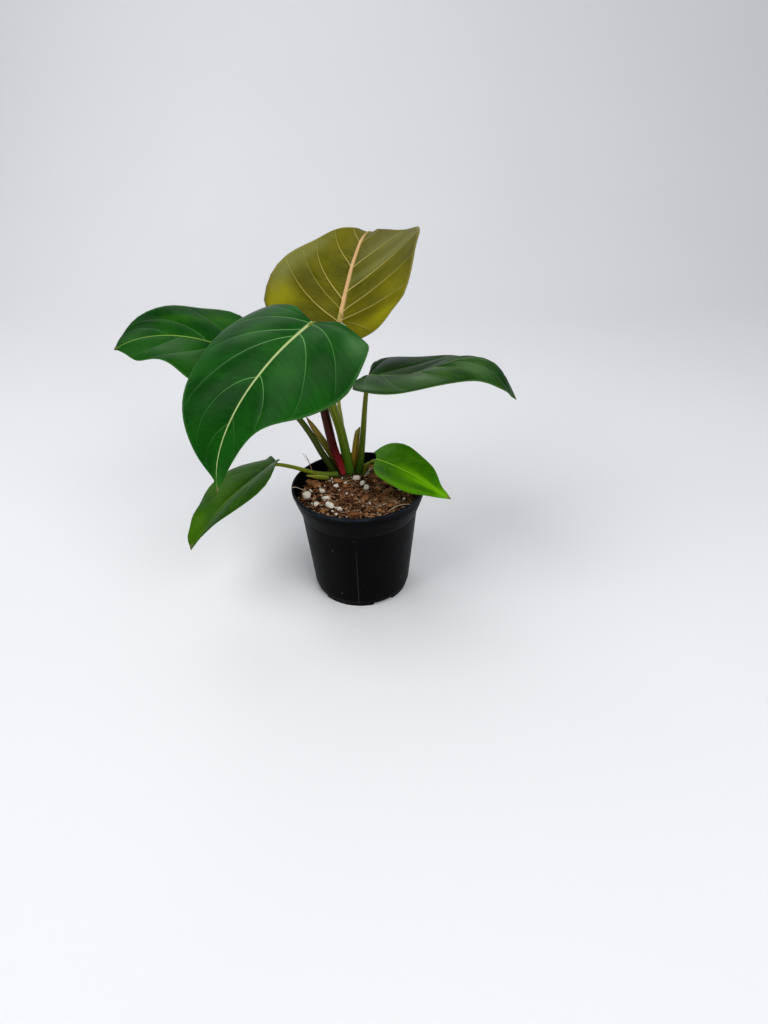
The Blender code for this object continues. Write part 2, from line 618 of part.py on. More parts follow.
def blade_frame(leaf, along):
    """Midrib point, forward, left and up directions at distances along the blade."""
    steps = 200
    distance = np.linspace(0.0, leaf["length"], steps + 1)

    def directions(share):
        turn = np.radians(leaf["heading"] + leaf["sweep"] * share)
        rise = leaf["rise"] - leaf["arch"] * share - leaf["droop"] * share**4
        return turn, np.radians(rise + leaf["hump"] * np.sin(np.pi * share) ** 2)

    def forward_of(share):
        turn, rise = directions(share)
        return np.stack([np.cos(rise) * np.cos(turn), np.cos(rise) * np.sin(turn), np.sin(rise)], -1)

    heading = forward_of(distance / leaf["length"])
    walked = np.cumsum(0.5 * (heading[1:] + heading[:-1]) * (leaf["length"] / steps), axis=0)
    midrib = np.vstack([np.zeros(3), walked])
    inside = np.clip(along, 0.0, leaf["length"])
    centre = np.stack([np.interp(inside, distance, midrib[:, k]) for k in range(3)], -1)
    share = inside / leaf["length"]
    forward = forward_of(share)
    turn, _ = directions(share)
    level = np.stack([-np.sin(turn), np.cos(turn), np.zeros_like(turn)], -1)
    upward = np.cross(forward, level)
    roll = np.radians(leaf["roll"] + leaf["twist"] * share)[..., None]
    left = np.cos(roll) * level + np.sin(roll) * upward
    up = np.cos(roll) * upward - np.sin(roll) * level
    attach = np.array(above_mix([leaf["attach"]])[0])
    centre = centre + np.minimum(along, 0.0)[..., None] * forward + attach
    return centre, forward, left, up


def ripple(leaf, half, rows, columns):
    """How far each point of a half's grid is lifted by the waves of its margin."""
    row = np.linspace(0.0, 1.0, rows + 1)[:, None]
    column = np.linspace(0.0, 1.0, columns + 1)[None, :]
    swing = np.sin(2 * np.pi * WAVES * row + np.radians(leaf["wave_start"][half]))
    return leaf["wave"][half] * column**2 * swing * np.sqrt(np.maximum(np.sin(np.pi * row), 0.0))


def bend_half(leaf, half, flat):
    """Bends a flat grid into place. half is 0 for the left one and 1 for the right one."""
    along, across = flat[..., 0], flat[..., 1]
    side = 1 - 2 * half
    centre, _, left, up = blade_frame(leaf, along)
    towards_tip = np.clip(along / leaf["length"], 0.0, 1.0)
    fold = np.radians(leaf["fold"][half] + leaf["fold_change"][half] * towards_tip)
    curl = np.radians(leaf["curl"][half])
    rate = curl / leaf["half_width"] or 1e-6
    outward = (np.sin(fold + rate * across) - np.sin(fold)) / rate
    lift = (np.cos(fold) - np.cos(fold + rate * across)) / rate
    lift = lift - np.tan(np.radians(leaf["lobe_lift"])) * np.minimum(along, 0.0)
    lift = lift + ripple(leaf, half, flat.shape[0] - 1, flat.shape[1] - 1)
    return centre + side * outward[..., None] * left + lift[..., None] * up


def blade_surface(leaf, rows, columns):
    """Points and faces of the whole blade, with the indices of its midrib points."""
    flat = [flat_half(leaf, half, rows, columns) for half in (0, 1)]
    bent = [bend_half(leaf, half, flat[half]) for half in (0, 1)]
    verts, lookup, midrib = [], {}, set()

    def corner(half, row, column):
        if row == rows:
            key = "tip"
        elif column == 0:
            key = "attach" if flat[0][row, 0, 0] < 1e-9 else ("rib", row)
        else:
            key = (half, row, column)
        if key not in lookup:
            lookup[key] = len(verts)
            verts.append(bent[half][row, column])
        if column == 0:
            midrib.add(lookup[key])
        return lookup[key]

    faces = []
    for half in (0, 1):
        for row in range(rows):
            for column in range(columns):
                ring = [
                    corner(half, row, column),
                    corner(half, row + 1, column),
                    corner(half, row + 1, column + 1),
                    corner(half, row, column + 1),
                ]
                ring = list(dict.fromkeys(ring))
                if len(ring) > 2:
                    faces.append(ring if half == 1 else ring[::-1])
    return np.array(verts), faces, sorted(midrib)


def clear_of_rim(leaf):
    """The same leaf, raised if it would touch the pot's rim."""
    flat = [flat_half(leaf, half, 3 * BLADE_ROWS, 3 * BLADE_COLUMNS) for half in (0, 1)]
    points = np.concatenate([bend_half(leaf, half, flat[half]).reshape(-1, 3) for half in (0, 1)])
    outward = np.hypot(points[:, 0], points[:, 1])
    over_rim = np.abs(outward - (RIM_RADIUS - RIM_WIDTH / 2)) < RIM_WIDTH
    if not over_rim.any():
        return leaf
    lowest = points[over_rim, 2].min() - BLADE_THICKNESS - MIDRIB_DEPTH
    x, y, height = leaf["attach"]
    return {**leaf, "attach": (x, y, height + max(0.0, POT_HEIGHT + SEAT_GAP - lowest))}


def surface_normals(verts, faces):
    normals = np.zeros_like(verts)
    for face in faces:
        corners = verts[face]
        normal = np.zeros(3)
        for k in range(1, len(face) - 1):
            normal += np.cross(corners[k] - corners[0], corners[k + 1] - corners[0])
        normals[face] += normal
    return normals / np.linalg.norm(normals, axis=1)[:, None]


def build_blade(name, leaf):
    """A thin closed blade with its midrib raised on the underside."""
    verts, faces, midrib = blade_surface(leaf, BLADE_ROWS, BLADE_COLUMNS)
    normals = surface_normals(verts, faces)
    up = blade_frame(leaf, np.array([0.0]))[3][0]
    if normals[midrib[0]].dot(up) < 0:
        normals = -normals
    below = np.full(len(verts), BLADE_THICKNESS / 2)
    below[midrib] += MIDRIB_DEPTH
    below[midrib[-1]] = BLADE_THICKNESS / 2
    count = len(verts)
    both = np.vstack([verts + normals * BLADE_THICKNESS / 2, verts - normals * below[:, None]])
    edges = {}
    for face in faces:
        for a, b in zip(face, face[1:] + face[:1]):
            edges[(a, b)] = edges.get((a, b), 0) + 1
    solid = [tuple(face) for face in faces]
    solid += [tuple(count + k for k in reversed(face)) for face in faces]
    solid += [(b, a, count + a, count + b) for a, b in edges if (b, a) not in edges]
    return add_piece(name, both, solid, LEAF_MATERIAL.get(name, "leaf_dark"), smooth_angle=60.0)


# ---------------------------------------------------------------- loose pieces on the mix


def lump(size, seed, rough, square):
    """Points and faces of a rough pebble; square above 1 gives it flatter faces."""
    shape = bmesh.new()
    bmesh.ops.create_icosphere(shape, subdivisions=2, radius=1.0)
    points = np.array([v.co for v in shape.verts])
    faces = [tuple(v.index for v in face.verts) for face in shape.faces]
    shape.free()
    rng = np.random.default_rng(seed)
    points = np.sign(points) * np.abs(points) ** (1.0 / square)
    for direction in rng.normal(size=(5, 3)):
        direction /= np.linalg.norm(direction)
        points *= (1.0 + rough * np.sin(3.0 * points @ direction + rng.uniform(0, 6)))[:, None]
    points /= np.abs(points).max(axis=0)
    return points * np.array(size) / 2, faces


def build_loose(prefix, pieces, material, rough, square, grounds):
    for number, ((x, y), size, turn) in enumerate(pieces, start=1):
        points, faces = lump(size, number, rough, square)
        turn = np.radians(turn)
        spun = points.copy()
        spun[:, 0] = x + points[:, 0] * np.cos(turn) - points[:, 1] * np.sin(turn)
        spun[:, 1] = y + points[:, 0] * np.sin(turn) + points[:, 1] * np.cos(turn)
        spun[:, 2] += POT_HEIGHT
        add_piece(f"{prefix}_{number}", settle(spun, grounds), faces, material, smooth_angle=50.0)


def build_fibres(grounds):
    for name, (points, radius) in FIBRES.items():
        verts, faces = tube(above_mix(points), [radius] * len(points), sides=5, rings=20)
        add_piece(name, settle(verts, grounds), faces, "root_fibre")


def main():
    clear_scene()
    grounds = [surface_of(build_pot()), surface_of(build_potting_mix())]
    build_crown()
    leaves = {name: clear_of_rim(leaf) for name, leaf in LEAVES.items()}
    blades = {name: surface_of(build_blade(name, leaf)) for name, leaf in leaves.items()}
    build_stalks(leaves, blades)
    build_sheaths()
    build_loose("perlite", PERLITE_GRAINS, "perlite", 0.07, 1.1, grounds)
    build_loose("bark_chip", BARK_CHIPS, "bark", 0.05, 1.8, grounds)
    build_fibres(grounds)


main()
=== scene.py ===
"""Looks of a young potted philodendron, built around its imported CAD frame.

The frame is in metres. The shapes below are worked out in millimetres and turned into metres
by add_mesh. +X is the plant's right, -Y its front and +Z up, and the pot stands on Z = 0.
"""

import bmesh
import bpy
import numpy as np
from mathutils import Matrix, Vector


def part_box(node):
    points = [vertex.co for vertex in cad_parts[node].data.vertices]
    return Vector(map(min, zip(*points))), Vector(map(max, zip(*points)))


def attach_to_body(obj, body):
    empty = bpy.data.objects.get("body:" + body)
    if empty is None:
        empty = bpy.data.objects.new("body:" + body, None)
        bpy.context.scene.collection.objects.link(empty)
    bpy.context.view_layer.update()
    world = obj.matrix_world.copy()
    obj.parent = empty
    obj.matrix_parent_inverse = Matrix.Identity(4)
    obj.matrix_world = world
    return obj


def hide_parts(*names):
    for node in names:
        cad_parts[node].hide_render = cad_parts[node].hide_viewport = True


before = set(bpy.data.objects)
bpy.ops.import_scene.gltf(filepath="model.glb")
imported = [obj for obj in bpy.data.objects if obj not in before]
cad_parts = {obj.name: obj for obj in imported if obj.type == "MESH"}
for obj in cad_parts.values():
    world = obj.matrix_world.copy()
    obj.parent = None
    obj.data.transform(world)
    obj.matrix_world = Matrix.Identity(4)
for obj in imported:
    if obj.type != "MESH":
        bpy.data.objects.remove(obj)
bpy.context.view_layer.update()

MM = 0.001

# Pot, as in the CAD frame
POT_HEIGHT = 116.0
RIM_RADIUS = 65.0
RIM_WIDTH = 2.6
LIP_HEIGHT = 4.0
COLLAR_HEIGHT = 26.0
COLLAR_TOP_RADIUS = 62.8
COLLAR_FOOT_RADIUS = 58.6
BODY_TOP_RADIUS = 57.0
BODY_FOOT_RADIUS = 48.6
FOOT_RADIUS = 46.5
FOOT_WIDTH = 3.0
FOOT_HEIGHT = 3.2
FLOOR = 1.6
WALL = 1.2
PAD_RADIUS = 14.0
FOOT_NOTCHES = 4
NOTCH_FIRST = 28.0
NOTCH_ANGLE = 26.0
DRAIN_HOLES = 8
DRAIN_HOLE_RADIUS = 4.0
DRAIN_CIRCLE_RADIUS = 30.0
COLLAR_FOOT = POT_HEIGHT - COLLAR_HEIGHT
COLLAR_MIDDLE = POT_HEIGHT - 0.85 * COLLAR_HEIGHT
FLOOR_TOP = FOOT_HEIGHT + FLOOR
POT_STEPS = 180
SEAM_ANGLES = (-93.0, 87.0)
SEAM_TOP = 56.0
SEAM_HEIGHT = 0.3

# Potting mix
MIX_TOP = 104.0
MIX_DIP = 3.0
MIX_LUMP = 1.1
MIX_RADIUS = 60.0
CROWN_CENTRE = (-11.0, 40.0)
CROWN_HALF_SIZE = (18.5, 12.5)
CROWN_HEIGHT = 2.6
STALK_FOOT = MIX_TOP + 3.2

# Camera, in metres, millimetres of lens and degrees
CAMERA_PLACE = (0.0242, -0.5876, 0.4594)
CAMERA_PITCH = 32.72
CAMERA_ROLL = -1.2
LENS = 36.0 * 700.0 / 1024.0

# Leaf blades, with the same terms as the CAD: pairs are (left, right)
FAN_SHARE = 0.3
WAVES = 2.5
BLADE_THICKNESS = 0.7
LEAVES = {
    "leaf_1": {
        "attach": (-12.8, 53.2, 153.7), "heading": 72.0, "rise": 51.8, "roll": -19.8,
        "length": 133.0, "half_width": 82.6, "arch": 30.7, "droop": 51.0, "sweep": 2.6,
        "twist": 19.2, "fold": (11.3, 9.3), "curl": (8.3, 12.4), "lobe_lift": -0.6,
        "lobe": 0.16, "widest": 0.11, "shoulder": (0.65, 0.79), "neck": (0.22, 0.16),
        "drip": (0.13, 0.14), "wave": (4.7, 2.6), "wave_start": (43.0, 12.0),
    },
    "leaf_2": {
        "attach": (-29.2, -35.1, 181.2), "heading": 221.1, "rise": -19.5, "roll": 0.6,
        "length": 164.1, "half_width": 78.8, "arch": 44.0, "droop": 29.1, "sweep": -0.6,
        "twist": -24.6, "fold": (16.3, 18.9), "curl": (-50.2, -45.5), "lobe_lift": -2.3,
        "lobe": 0.04, "widest": 0.23, "shoulder": (0.41, 0.68), "neck": (0.19, 0.29),
        "drip": (0.09, 0.05), "wave": (-3.7, -1.5), "wave_start": (-18.0, -9.0),
        "point": ((0.985, 0.020), (1.04, 0.0)),
    },
    "leaf_3": {
        "attach": (-106.7, 41.2, 128.6), "heading": 186.2, "rise": 34.0, "roll": -12.4,
        "length": 116.5, "half_width": 59.9, "arch": 48.5, "droop": 15.9, "sweep": 5.1,
        "twist": -11.2, "fold": (0.4, 7.4), "curl": (-9.8, -11.4), "lobe_lift": 0.0,
        "lobe": 0.15, "widest": 0.16, "shoulder": (0.57, 0.60), "neck": (0.43, 0.42),
        "drip": (0.17, 0.20), "wave": (3.0, -3.5), "wave_start": (-118.0, 38.0),
        "point": ((0.985, 0.030), (1.035, 0.0)),
    },
    "leaf_4": {
        "attach": (12.2, 34.9, 107.8), "heading": -17.1, "rise": 9.5, "roll": -22.6,
        "length": 161.2, "half_width": 51.4, "arch": 133.5, "droop": -62.9, "sweep": 13.1,
        "twist": 15.1, "fold": (27.6, -10.3), "curl": (0.0, -9.6), "lobe_lift": -3.2,
        "lobe": 0.02, "widest": 0.17, "shoulder": (0.69, 0.65), "neck": (0.52, 0.49),
        "drip": (0.18, 0.22), "wave": (3.3, 2.6), "wave_start": (67.0, 67.0),
        "hump": 74.3, "fold_change": (-51.4, -16.1),
        "point": ((0.985, 0.035), (1.02, 0.0)),
    },
    "leaf_5": {
        "attach": (-77.1, 1.1, 35.2), "heading": 211.5, "rise": -17.5, "roll": 22.5,
        "length": 118.1, "half_width": 44.4, "arch": 25.1, "droop": 20.4, "sweep": -0.9,
        "twist": -30.2, "fold": (25.2, 21.4), "curl": (-39.9, -36.5), "lobe_lift": 2.1,
        "lobe": 0.06, "widest": 0.20, "shoulder": (0.67, 0.80), "neck": (0.26, 0.30),
        "drip": (0.13, 0.18), "wave": (-1.7, 3.3), "wave_start": (27.0, 33.0),
        "base": dict.fromkeys((0, 1), ((-0.01, 0.14), (-0.01, 0.42), (0.05, 0.76))),
    },
    "leaf_6": {
        "attach": (17.7, 9.2, 32.8), "heading": -28.3, "rise": -4.0, "roll": 2.0,
        "length": 83.0, "half_width": 30.9, "arch": 31.5, "droop": -11.9, "sweep": 1.5,
        "twist": 20.5, "fold": (1.0, -0.7), "curl": (13.2, 26.1), "lobe_lift": -7.7,
        "lobe": 0.10, "widest": 0.20, "shoulder": (0.62, 0.73), "neck": (0.23, 0.30),
        "drip": (0.11, 0.11), "wave": (-1.0, -1.6), "wave_start": (-13.0, -33.0),
        "base": {1: ((0.0, 0.05), (0.03, 0.28), (0.10, 0.66))},
    },
}

# Side veins of each half: where each starts at the midrib and where it ends at the margin, as
# shares of the margin's length, how late it bends towards the tip, and how strongly it shows
VEINS = {
    "leaf_1": (
        [(0.10, 0.10, 1.0, 0.4), (0.22, 0.22, 1.0, 0.5), (0.30, 0.53, 0.85, 1.0),
         (0.38, 0.62, 0.85, 0.4), (0.44, 0.70, 0.9, 1.0), (0.63, 0.80, 0.85, 0.8),
         (0.79, 0.90, 0.8, 0.7)],
        [(0.12, 0.12, 1.0, 0.4), (0.31, 0.34, 0.5, 0.7), (0.35, 0.43, 0.35, 0.9),
         (0.48, 0.52, 0.4, 1.0), (0.62, 0.67, 0.5, 0.8), (0.78, 0.84, 0.6, 0.6)],
    ),
    "leaf_2": (
        [(0.14, 0.14, 1.0, 0.3), (0.24, 0.25, 1.0, 0.5), (0.32, 0.43, 2.4, 0.8),
         (0.39, 0.60, 1.8, 1.0), (0.60, 0.74, 1.8, 0.9), (0.76, 0.85, 1.4, 0.3)],
        [(0.12, 0.12, 1.0, 0.3), (0.24, 0.24, 1.0, 0.4), (0.31, 0.37, 0.8, 0.7),
         (0.345, 0.47, 0.5, 0.8), (0.40, 0.68, 0.95, 1.0), (0.61, 0.86, 1.5, 0.8),
         (0.78, 0.92, 1.2, 0.3)],
    ),
    "leaf_3": (
        [(0.12, 0.12, 1.0, 0.3), (0.26, 0.28, 1.0, 0.4), (0.35, 0.50, 1.2, 0.6),
         (0.46, 0.72, 1.2, 0.6), (0.66, 0.84, 1.2, 0.4)],
        [(0.12, 0.12, 1.0, 0.3), (0.26, 0.28, 1.0, 0.4), (0.36, 0.55, 1.2, 0.5),
         (0.53, 0.82, 1.2, 0.8), (0.72, 0.88, 1.2, 0.3)],
    ),
    "leaf_4": (
        [(0.12, 0.12, 1.0, 0.3), (0.27, 0.28, 1.0, 0.4), (0.36, 0.50, 1.0, 0.6),
         (0.50, 0.64, 1.0, 0.6), (0.66, 0.78, 1.0, 0.5)],
        [(0.12, 0.12, 1.0, 0.3), (0.27, 0.28, 1.0, 0.4), (0.38, 0.42, 0.8, 0.5),
         (0.55, 0.585, 0.8, 0.9), (0.61, 0.70, 0.8, 1.0), (0.66, 0.88, 1.1, 0.8)],
    ),
    "leaf_5": 2 * (
        [(0.14, 0.14, 1.0, 0.2), (0.28, 0.34, 1.0, 0.3), (0.42, 0.60, 1.4, 0.4),
         (0.60, 0.78, 1.4, 0.4)],
    ),
    "leaf_6": 2 * (
        [(0.14, 0.14, 1.0, 0.3), (0.27, 0.32, 1.0, 0.4), (0.40, 0.58, 1.4, 0.5),
         (0.58, 0.76, 1.4, 0.5)],
    ),
}

# Half width of the midrib at the stalk and at the tip, of a side vein at the midrib, and how far
# the blade swells between its side veins
RELIEF = {
    "leaf_1": {"rib": (2.8, 1.2), "vein": 0.9, "swell": 1.0},
    "leaf_2": {"rib": (2.2, 0.35), "vein": 0.7, "swell": 0.45},
    "leaf_3": {"rib": (1.0, 0.3), "vein": 0.6, "swell": 0.9},
    "leaf_4": {"rib": (1.0, 0.3), "vein": 0.8, "swell": 2.0},
    "leaf_5": {"rib": (0.9, 0.3), "vein": 0.5, "swell": 0.4},
    "leaf_6": {"rib": (0.8, 0.3), "vein": 0.5, "swell": 0.3},
}
ROWS_BETWEEN = 7  # rows of points from one side vein to the next
BLADE_COLUMNS = 22
RIB_STEPS = np.array([0.0, 0.55, 0.95, 1.35])  # innermost columns, in half widths of the midrib
RIGHT_HALF = 1.7  # added to the row mark of the right half, to tell the halves apart
TURNED_OVER = ("leaf_1",)  # its underside faces front and up
DRY_TIP = (0.16, 0.095, 0.045)

# Leaf stalks: (x, y) of the foot on the crown, points with heights above the mix, and radii
STALKS = {
    "petiole_1": ((-13.5, 48.5), [(-16.0, 50.0, 51.0), (-18.0, 51.0, 81.0)], 2.2, 1.7),
    "petiole_2": (
        (-10.5, 39.0),
        [(-12.0, 36.0, 18.0), (-16.5, 24.5, 58.0), (-22.5, 8.0, 94.0), (-27.0, -12.0, 139.0)],
        5.5, 3.8,
    ),
    "petiole_3": ((-25.0, 40.0), [(-36.0, 38.5, 23.0), (-58.0, 40.0, 64.0)], 4.0, 2.5),
    "petiole_4": (
        (-1.0, 39.0),
        [(1.5, 37.0, 17.0), (5.0, 34.0, 48.0), (8.5, 32.0, 84.0)],
        4.2, 1.9,
    ),
    "petiole_6": ((4.5, 36.0), [(7.0, 31.0, 11.5), (12.0, 21.0, 23.0)], 1.9, 1.3),
}
LOW_STALK = [(-21.5, 30.0, 5.4), (-32.0, 29.0, 6.0), (-45.0, 26.0, 9.5), (-62.0, 16.0, 21.5)]
LOW_STALK_RADII = (2.9, 1.7)
NEW_LEAF = [
    (-16.5, 34.2, 3.2), (-19.5, 32.5, 18.0), (-25.0, 30.0, 39.0),
    (-31.0, 29.5, 77.0), (-38.0, 31.0, 110.0), (-42.0, 32.0, 130.0),
]
NEW_LEAF_RADII = (2.8, 3.9, 4.6, 4.5, 3.1, 0.5)
SHEATHS = {
    "sheath_left": {
        "points": [(-20.5, 47.5, 3.2), (-26.0, 45.5, 17.0), (-35.0, 43.5, 35.0),
                   (-44.5, 42.0, 53.5), (-50.0, 41.0, 64.0)],
        "radii": (3.0, 3.8, 3.6, 2.6, 0.4), "tip": 0.0,
    },
    "sheath_right": {
        "points": [(-5.5, 47.0, 3.2), (-4.5, 44.0, 16.0), (-2.5, 41.5, 34.0),
                   (0.0, 38.5, 51.0)],
        "radii": (3.0, 3.5, 3.2, 2.4), "tip": 0.75,
    },
    "sheath_small": {
        "points": [(3.5, 43.5, 3.2), (6.0, 40.5, 8.5), (10.5, 36.5, 15.5)],
        "radii": (1.8, 1.9, 0.6), "tip": 0.1,
    },
    "sheath_low": {
        "points": [(-31.0, 24.6, 4.4), (-40.0, 23.0, 6.5), (-52.0, 18.5, 11.0)],
        "radii": (2.1, 2.2, 0.7), "tip": 0.3,
    },
}

# Loose pieces on the mix: (x, y), full size along its own axes, turn about Z
PERLITE_GRAINS = [
    ((-50.0, -7.0), (9.5, 8.5, 7.5), 20), ((-36.0, 2.0), (5.0, 6.5, 4.5), 70),
    ((-32.0, -11.0), (9.0, 6.5, 5.0), 10), ((-40.0, -21.0), (6.5, 5.0, 4.0), 30),
    ((-27.0, -25.5), (9.5, 6.5, 5.5), -30), ((-17.5, -31.0), (5.5, 5.0, 4.0), 0),
    ((-23.0, 12.0), (6.0, 5.0, 4.0), 45), ((-14.0, 16.5), (4.0, 5.0, 3.5), 0),
    ((-2.5, 25.0), (9.0, 6.5, 6.0), -10), ((3.5, 16.5), (6.0, 5.0, 4.5), 25),
    ((7.5, 6.0), (6.0, 9.0, 5.0), 15), ((41.0, 3.0), (6.0, 5.0, 4.0), 0),
    ((24.0, 49.0), (5.0, 4.0, 3.5), 30),
]
BARK_CHIPS = [
    ((15.0, 28.5), (14.0, 8.0, 3.4), -25), ((29.0, 15.0), (15.0, 7.0, 3.2), -20),
    ((-48.0, 21.0), (12.0, 6.0, 3.0), 15), ((-42.0, 14.5), (10.0, 6.0, 2.6), 35),
    ((-21.0, 22.0), (9.0, 6.0, 2.4), 5), ((-39.5, 37.5), (11.0, 5.0, 2.6), 47),
    ((6.0, -11.0), (9.0, 6.0, 2.8), 50), ((22.0, -8.0), (13.0, 5.0, 2.6), 15),
    ((40.0, 22.0), (12.0, 7.0, 3.0), 60), ((10.5, 52.0), (10.0, 6.0, 3.0), -10),
    ((-4.0, -40.0), (12.0, 5.0, 2.4), 5),
]
# Longer fibres: points with heights above the mix, radius, and how pale they are
FIBRES = {
    "root_arch": (
        [(5.0, 29.5, 4.0), (13.5, 38.5, 8.5), (27.0, 36.0, 4.0), (34.0, 32.0, 2.0)], 0.7, 1.0,
    ),
    "fibre_left": (
        [(-64.5, -7.0, 13.6), (-60.0, -6.0, 13.4), (-55.0, 1.5, 6.0), (-47.0, 3.0, 2.0)], 0.4, 1.0,
    ),
    "fibre_front": (
        [(10.0, -32.0, 2.0), (21.0, -27.0, 3.5), (32.0, -18.0, 2.5), (40.0, -10.0, 2.0)], 0.4, 0.75,
    ),
    "fibre_right": (
        [(27.0, -36.0, 2.0), (38.0, -29.0, 4.5), (49.0, -28.0, 5.0), (53.0, -20.0, 2.0)], 0.4, 0.75,
    ),
    "hair_rear_1": (
        [(-46.0, 29.0, 1.5), (-48.5, 31.0, 14.0), (-51.0, 32.0, 22.0), (-56.0, 32.5, 30.0)], 0.35, 0.1,
    ),
    "hair_rear_2": (
        [(-46.5, 33.0, 1.5), (-48.5, 34.0, 12.0), (-51.0, 35.5, 20.0), (-53.5, 36.5, 27.0)], 0.35, 0.2,
    ),
}


# ---------------------------------------------------------------- meshes


def add_mesh(name, points, faces, materials, face_material=None, marks=None, smooth=True):
    """One object from points in millimetres. marks are named numbers, one for each point."""
    mesh = bpy.data.meshes.new(name)
    mesh.from_pydata((np.asarray(points) * MM).tolist(), [], [list(f) for f in faces])
    for key, values in (marks or {}).items():
        layer = mesh.attributes.new(key, "FLOAT", "POINT")
        layer.data.foreach_set("value", np.asarray(values, np.float32))
    for material in materials:
        mesh.materials.append(material)
    if face_material is not None:
        mesh.polygons.foreach_set("material_index", np.asarray(face_material, np.int32))
    if smooth:
        mesh.shade_smooth()
    mesh.update()
    piece = bpy.data.objects.new(name, mesh)
    bpy.context.scene.collection.objects.link(piece)
    return piece


def face_outwards(piece):
    shape = bmesh.new()
    shape.from_mesh(piece.data)
    bmesh.ops.recalc_face_normals(shape, faces=shape.faces)
    shape.to_mesh(piece.data)
    shape.free()


def place(piece, slot, *nodes):
    """The piece stands for these CAD nodes, which it hides, and hangs from the root body. slot is not used.
    """
    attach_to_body(piece, "root")
    if nodes:
        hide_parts(*nodes)


def smooth_curve(points, count):
    """count + 1 even points along a Catmull-Rom curve through the given points."""
    given = np.asarray(points, float)
    ends = np.vstack([2 * given[0] - given[1], given, 2 * given[-1] - given[-2]])
    spans = len(given) - 1
    place_on = np.linspace(0.0, spans, count * 8 + 1)
    span = np.minimum(place_on.astype(int), spans - 1)
    part = (place_on - span)[:, None]
    a, b, c, d = (ends[span + k] for k in range(4))
    curve = 0.5 * (
        2 * b + (c - a) * part + (2 * a - 5 * b + 4 * c - d) * part**2
        + (3 * b - a - 3 * c + d) * part**3
    )
    walked = np.concatenate([[0.0], np.cumsum(np.linalg.norm(np.diff(curve, axis=0), axis=1))])
    even = np.linspace(0.0, walked[-1], count + 1)
    return np.stack([np.interp(even, walked, curve[:, k]) for k in range(curve.shape[1])], axis=1)


def curve_frames(path):
    """Directions ahead, to the side and up at each point of a path."""
    ahead = np.gradient(path, axis=0)
    ahead /= np.linalg.norm(ahead, axis=1)[:, None]
    side = np.cross(ahead[0], (0.0, 1.0, 0.0) if abs(ahead[0][1]) < 0.9 else (1.0, 0.0, 0.0))
    sides = []
    for forward in ahead:
        side = side - forward * side.dot(forward)
        side = side / np.linalg.norm(side)
        sides.append(side)
    return ahead, np.array(sides), np.cross(ahead, sides)


def ring_quads(rings, sides, start=0):
    """Faces between closed rings of points that follow each other from start."""
    quads = []
    for a in range(start, start + (rings - 1) * sides, sides):
        for k in range(sides):
            after = (k + 1) % sides
            quads.append((a + k, a + after, a + sides + after, a + sides + k))
    return quads


def tinted(points, tint):
    return {"tint": np.full(len(points), tint)}


def tube(points, radii, sides=20, rings=48, groove=0.0):
    """Points, faces and marks of a closed tube; groove hollows it along one side."""
    path = smooth_curve(np.column_stack([points, radii]), rings)
    centres, sizes = path[:, :3], path[:, 3]
    ahead, side, up = curve_frames(centres)
    turn = np.linspace(0.0, 2 * np.pi, sides, endpoint=False)
    hollow = 1.0 - groove * np.exp(-((turn + np.pi) % (2 * np.pi) - np.pi) ** 2 / 0.3)
    ring = np.cos(turn)[None, :, None] * side[:, None] + np.sin(turn)[None, :, None] * up[:, None]
    verts = centres[:, None] + sizes[:, None, None] * hollow[None, :, None] * ring
    # A rounded end: two smaller rings and a middle point
    end, end_size = centres[-1], sizes[-1]
    caps = [end + (verts[-1] - end) * narrow + ahead[-1] * end_size * height
            for narrow, height in ((0.8, 0.45), (0.4, 0.75))]
    verts = np.concatenate([verts, caps])
    count = len(verts)
    low, high = count * sides, count * sides + 1
    marks = {
        "along": np.append(np.repeat(np.minimum(np.arange(count) / rings, 1.0), sides), (0.0, 1.0)),
        "round_x": np.append(np.tile(np.cos(turn), count), (0.0, 0.0)),
        "round_y": np.append(np.tile(np.sin(turn), count), (0.0, 0.0)),
    }
    verts = np.vstack([verts.reshape(-1, 3), centres[0], end + ahead[-1] * end_size * 0.85])
    faces = ring_quads(count, sides)
    for k in range(sides):
        after = (k + 1) % sides
        faces += [(low, after, k), (high, low - sides + k, low - sides + after)]
    return verts, faces, marks


def thick_sheet(outer, inner):
    """Points, faces and marks of a closed sheet between two grids of points."""
    rows, columns = outer.shape[:2]
    half = rows * columns
    index = np.arange(half).reshape(rows, columns)
    faces = []
    for a, b in zip(index[:-1, :-1].flat, index[1:, :-1].flat):
        faces += [(a, a + 1, b + 1, b), (half + a, half + b, half + b + 1, half + a + 1)]
    rim = [*index[0], *index[1:, -1], *index[-1, -2::-1], *index[-2:0:-1, 0]]
    faces += [(b, a, half + a, half + b) for a, b in zip(rim, rim[1:] + rim[:1])]
    turn = np.tile(np.linspace(0.0, 2 * np.pi, columns), 2 * rows)
    marks = {
        "along": np.tile(np.repeat(np.linspace(0.0, 1.0, rows), columns), 2),
        "round_x": np.cos(turn),
        "round_y": np.sin(turn),
    }
    return np.vstack([outer.reshape(-1, 3), inner.reshape(-1, 3)]), faces, marks


def rolled_sheet(points, radii, rings, inset, section, *terms):
    """A thin sheet rolled about a curve. section gives the angles, the radii and the reach ahead
    across the sheet, for a share of the curve's length and the curve's own radius there."""
    path = smooth_curve(np.column_stack([points, radii]), rings)
    ahead, side, up = curve_frames(path[:, :3])
    grids = []
    for thickness in (0.0, inset):
        grid = []
        for k, (*centre, size) in enumerate(path):
            angle, radius, reach = section(k / rings, size, thickness, *terms)
            around = np.cos(angle)[:, None] * side[k] + np.sin(angle)[:, None] * up[k]
            grid.append(centre + radius[:, None] * around + reach[:, None] * ahead[k])
        grids.append(np.array(grid))
    return thick_sheet(*grids)


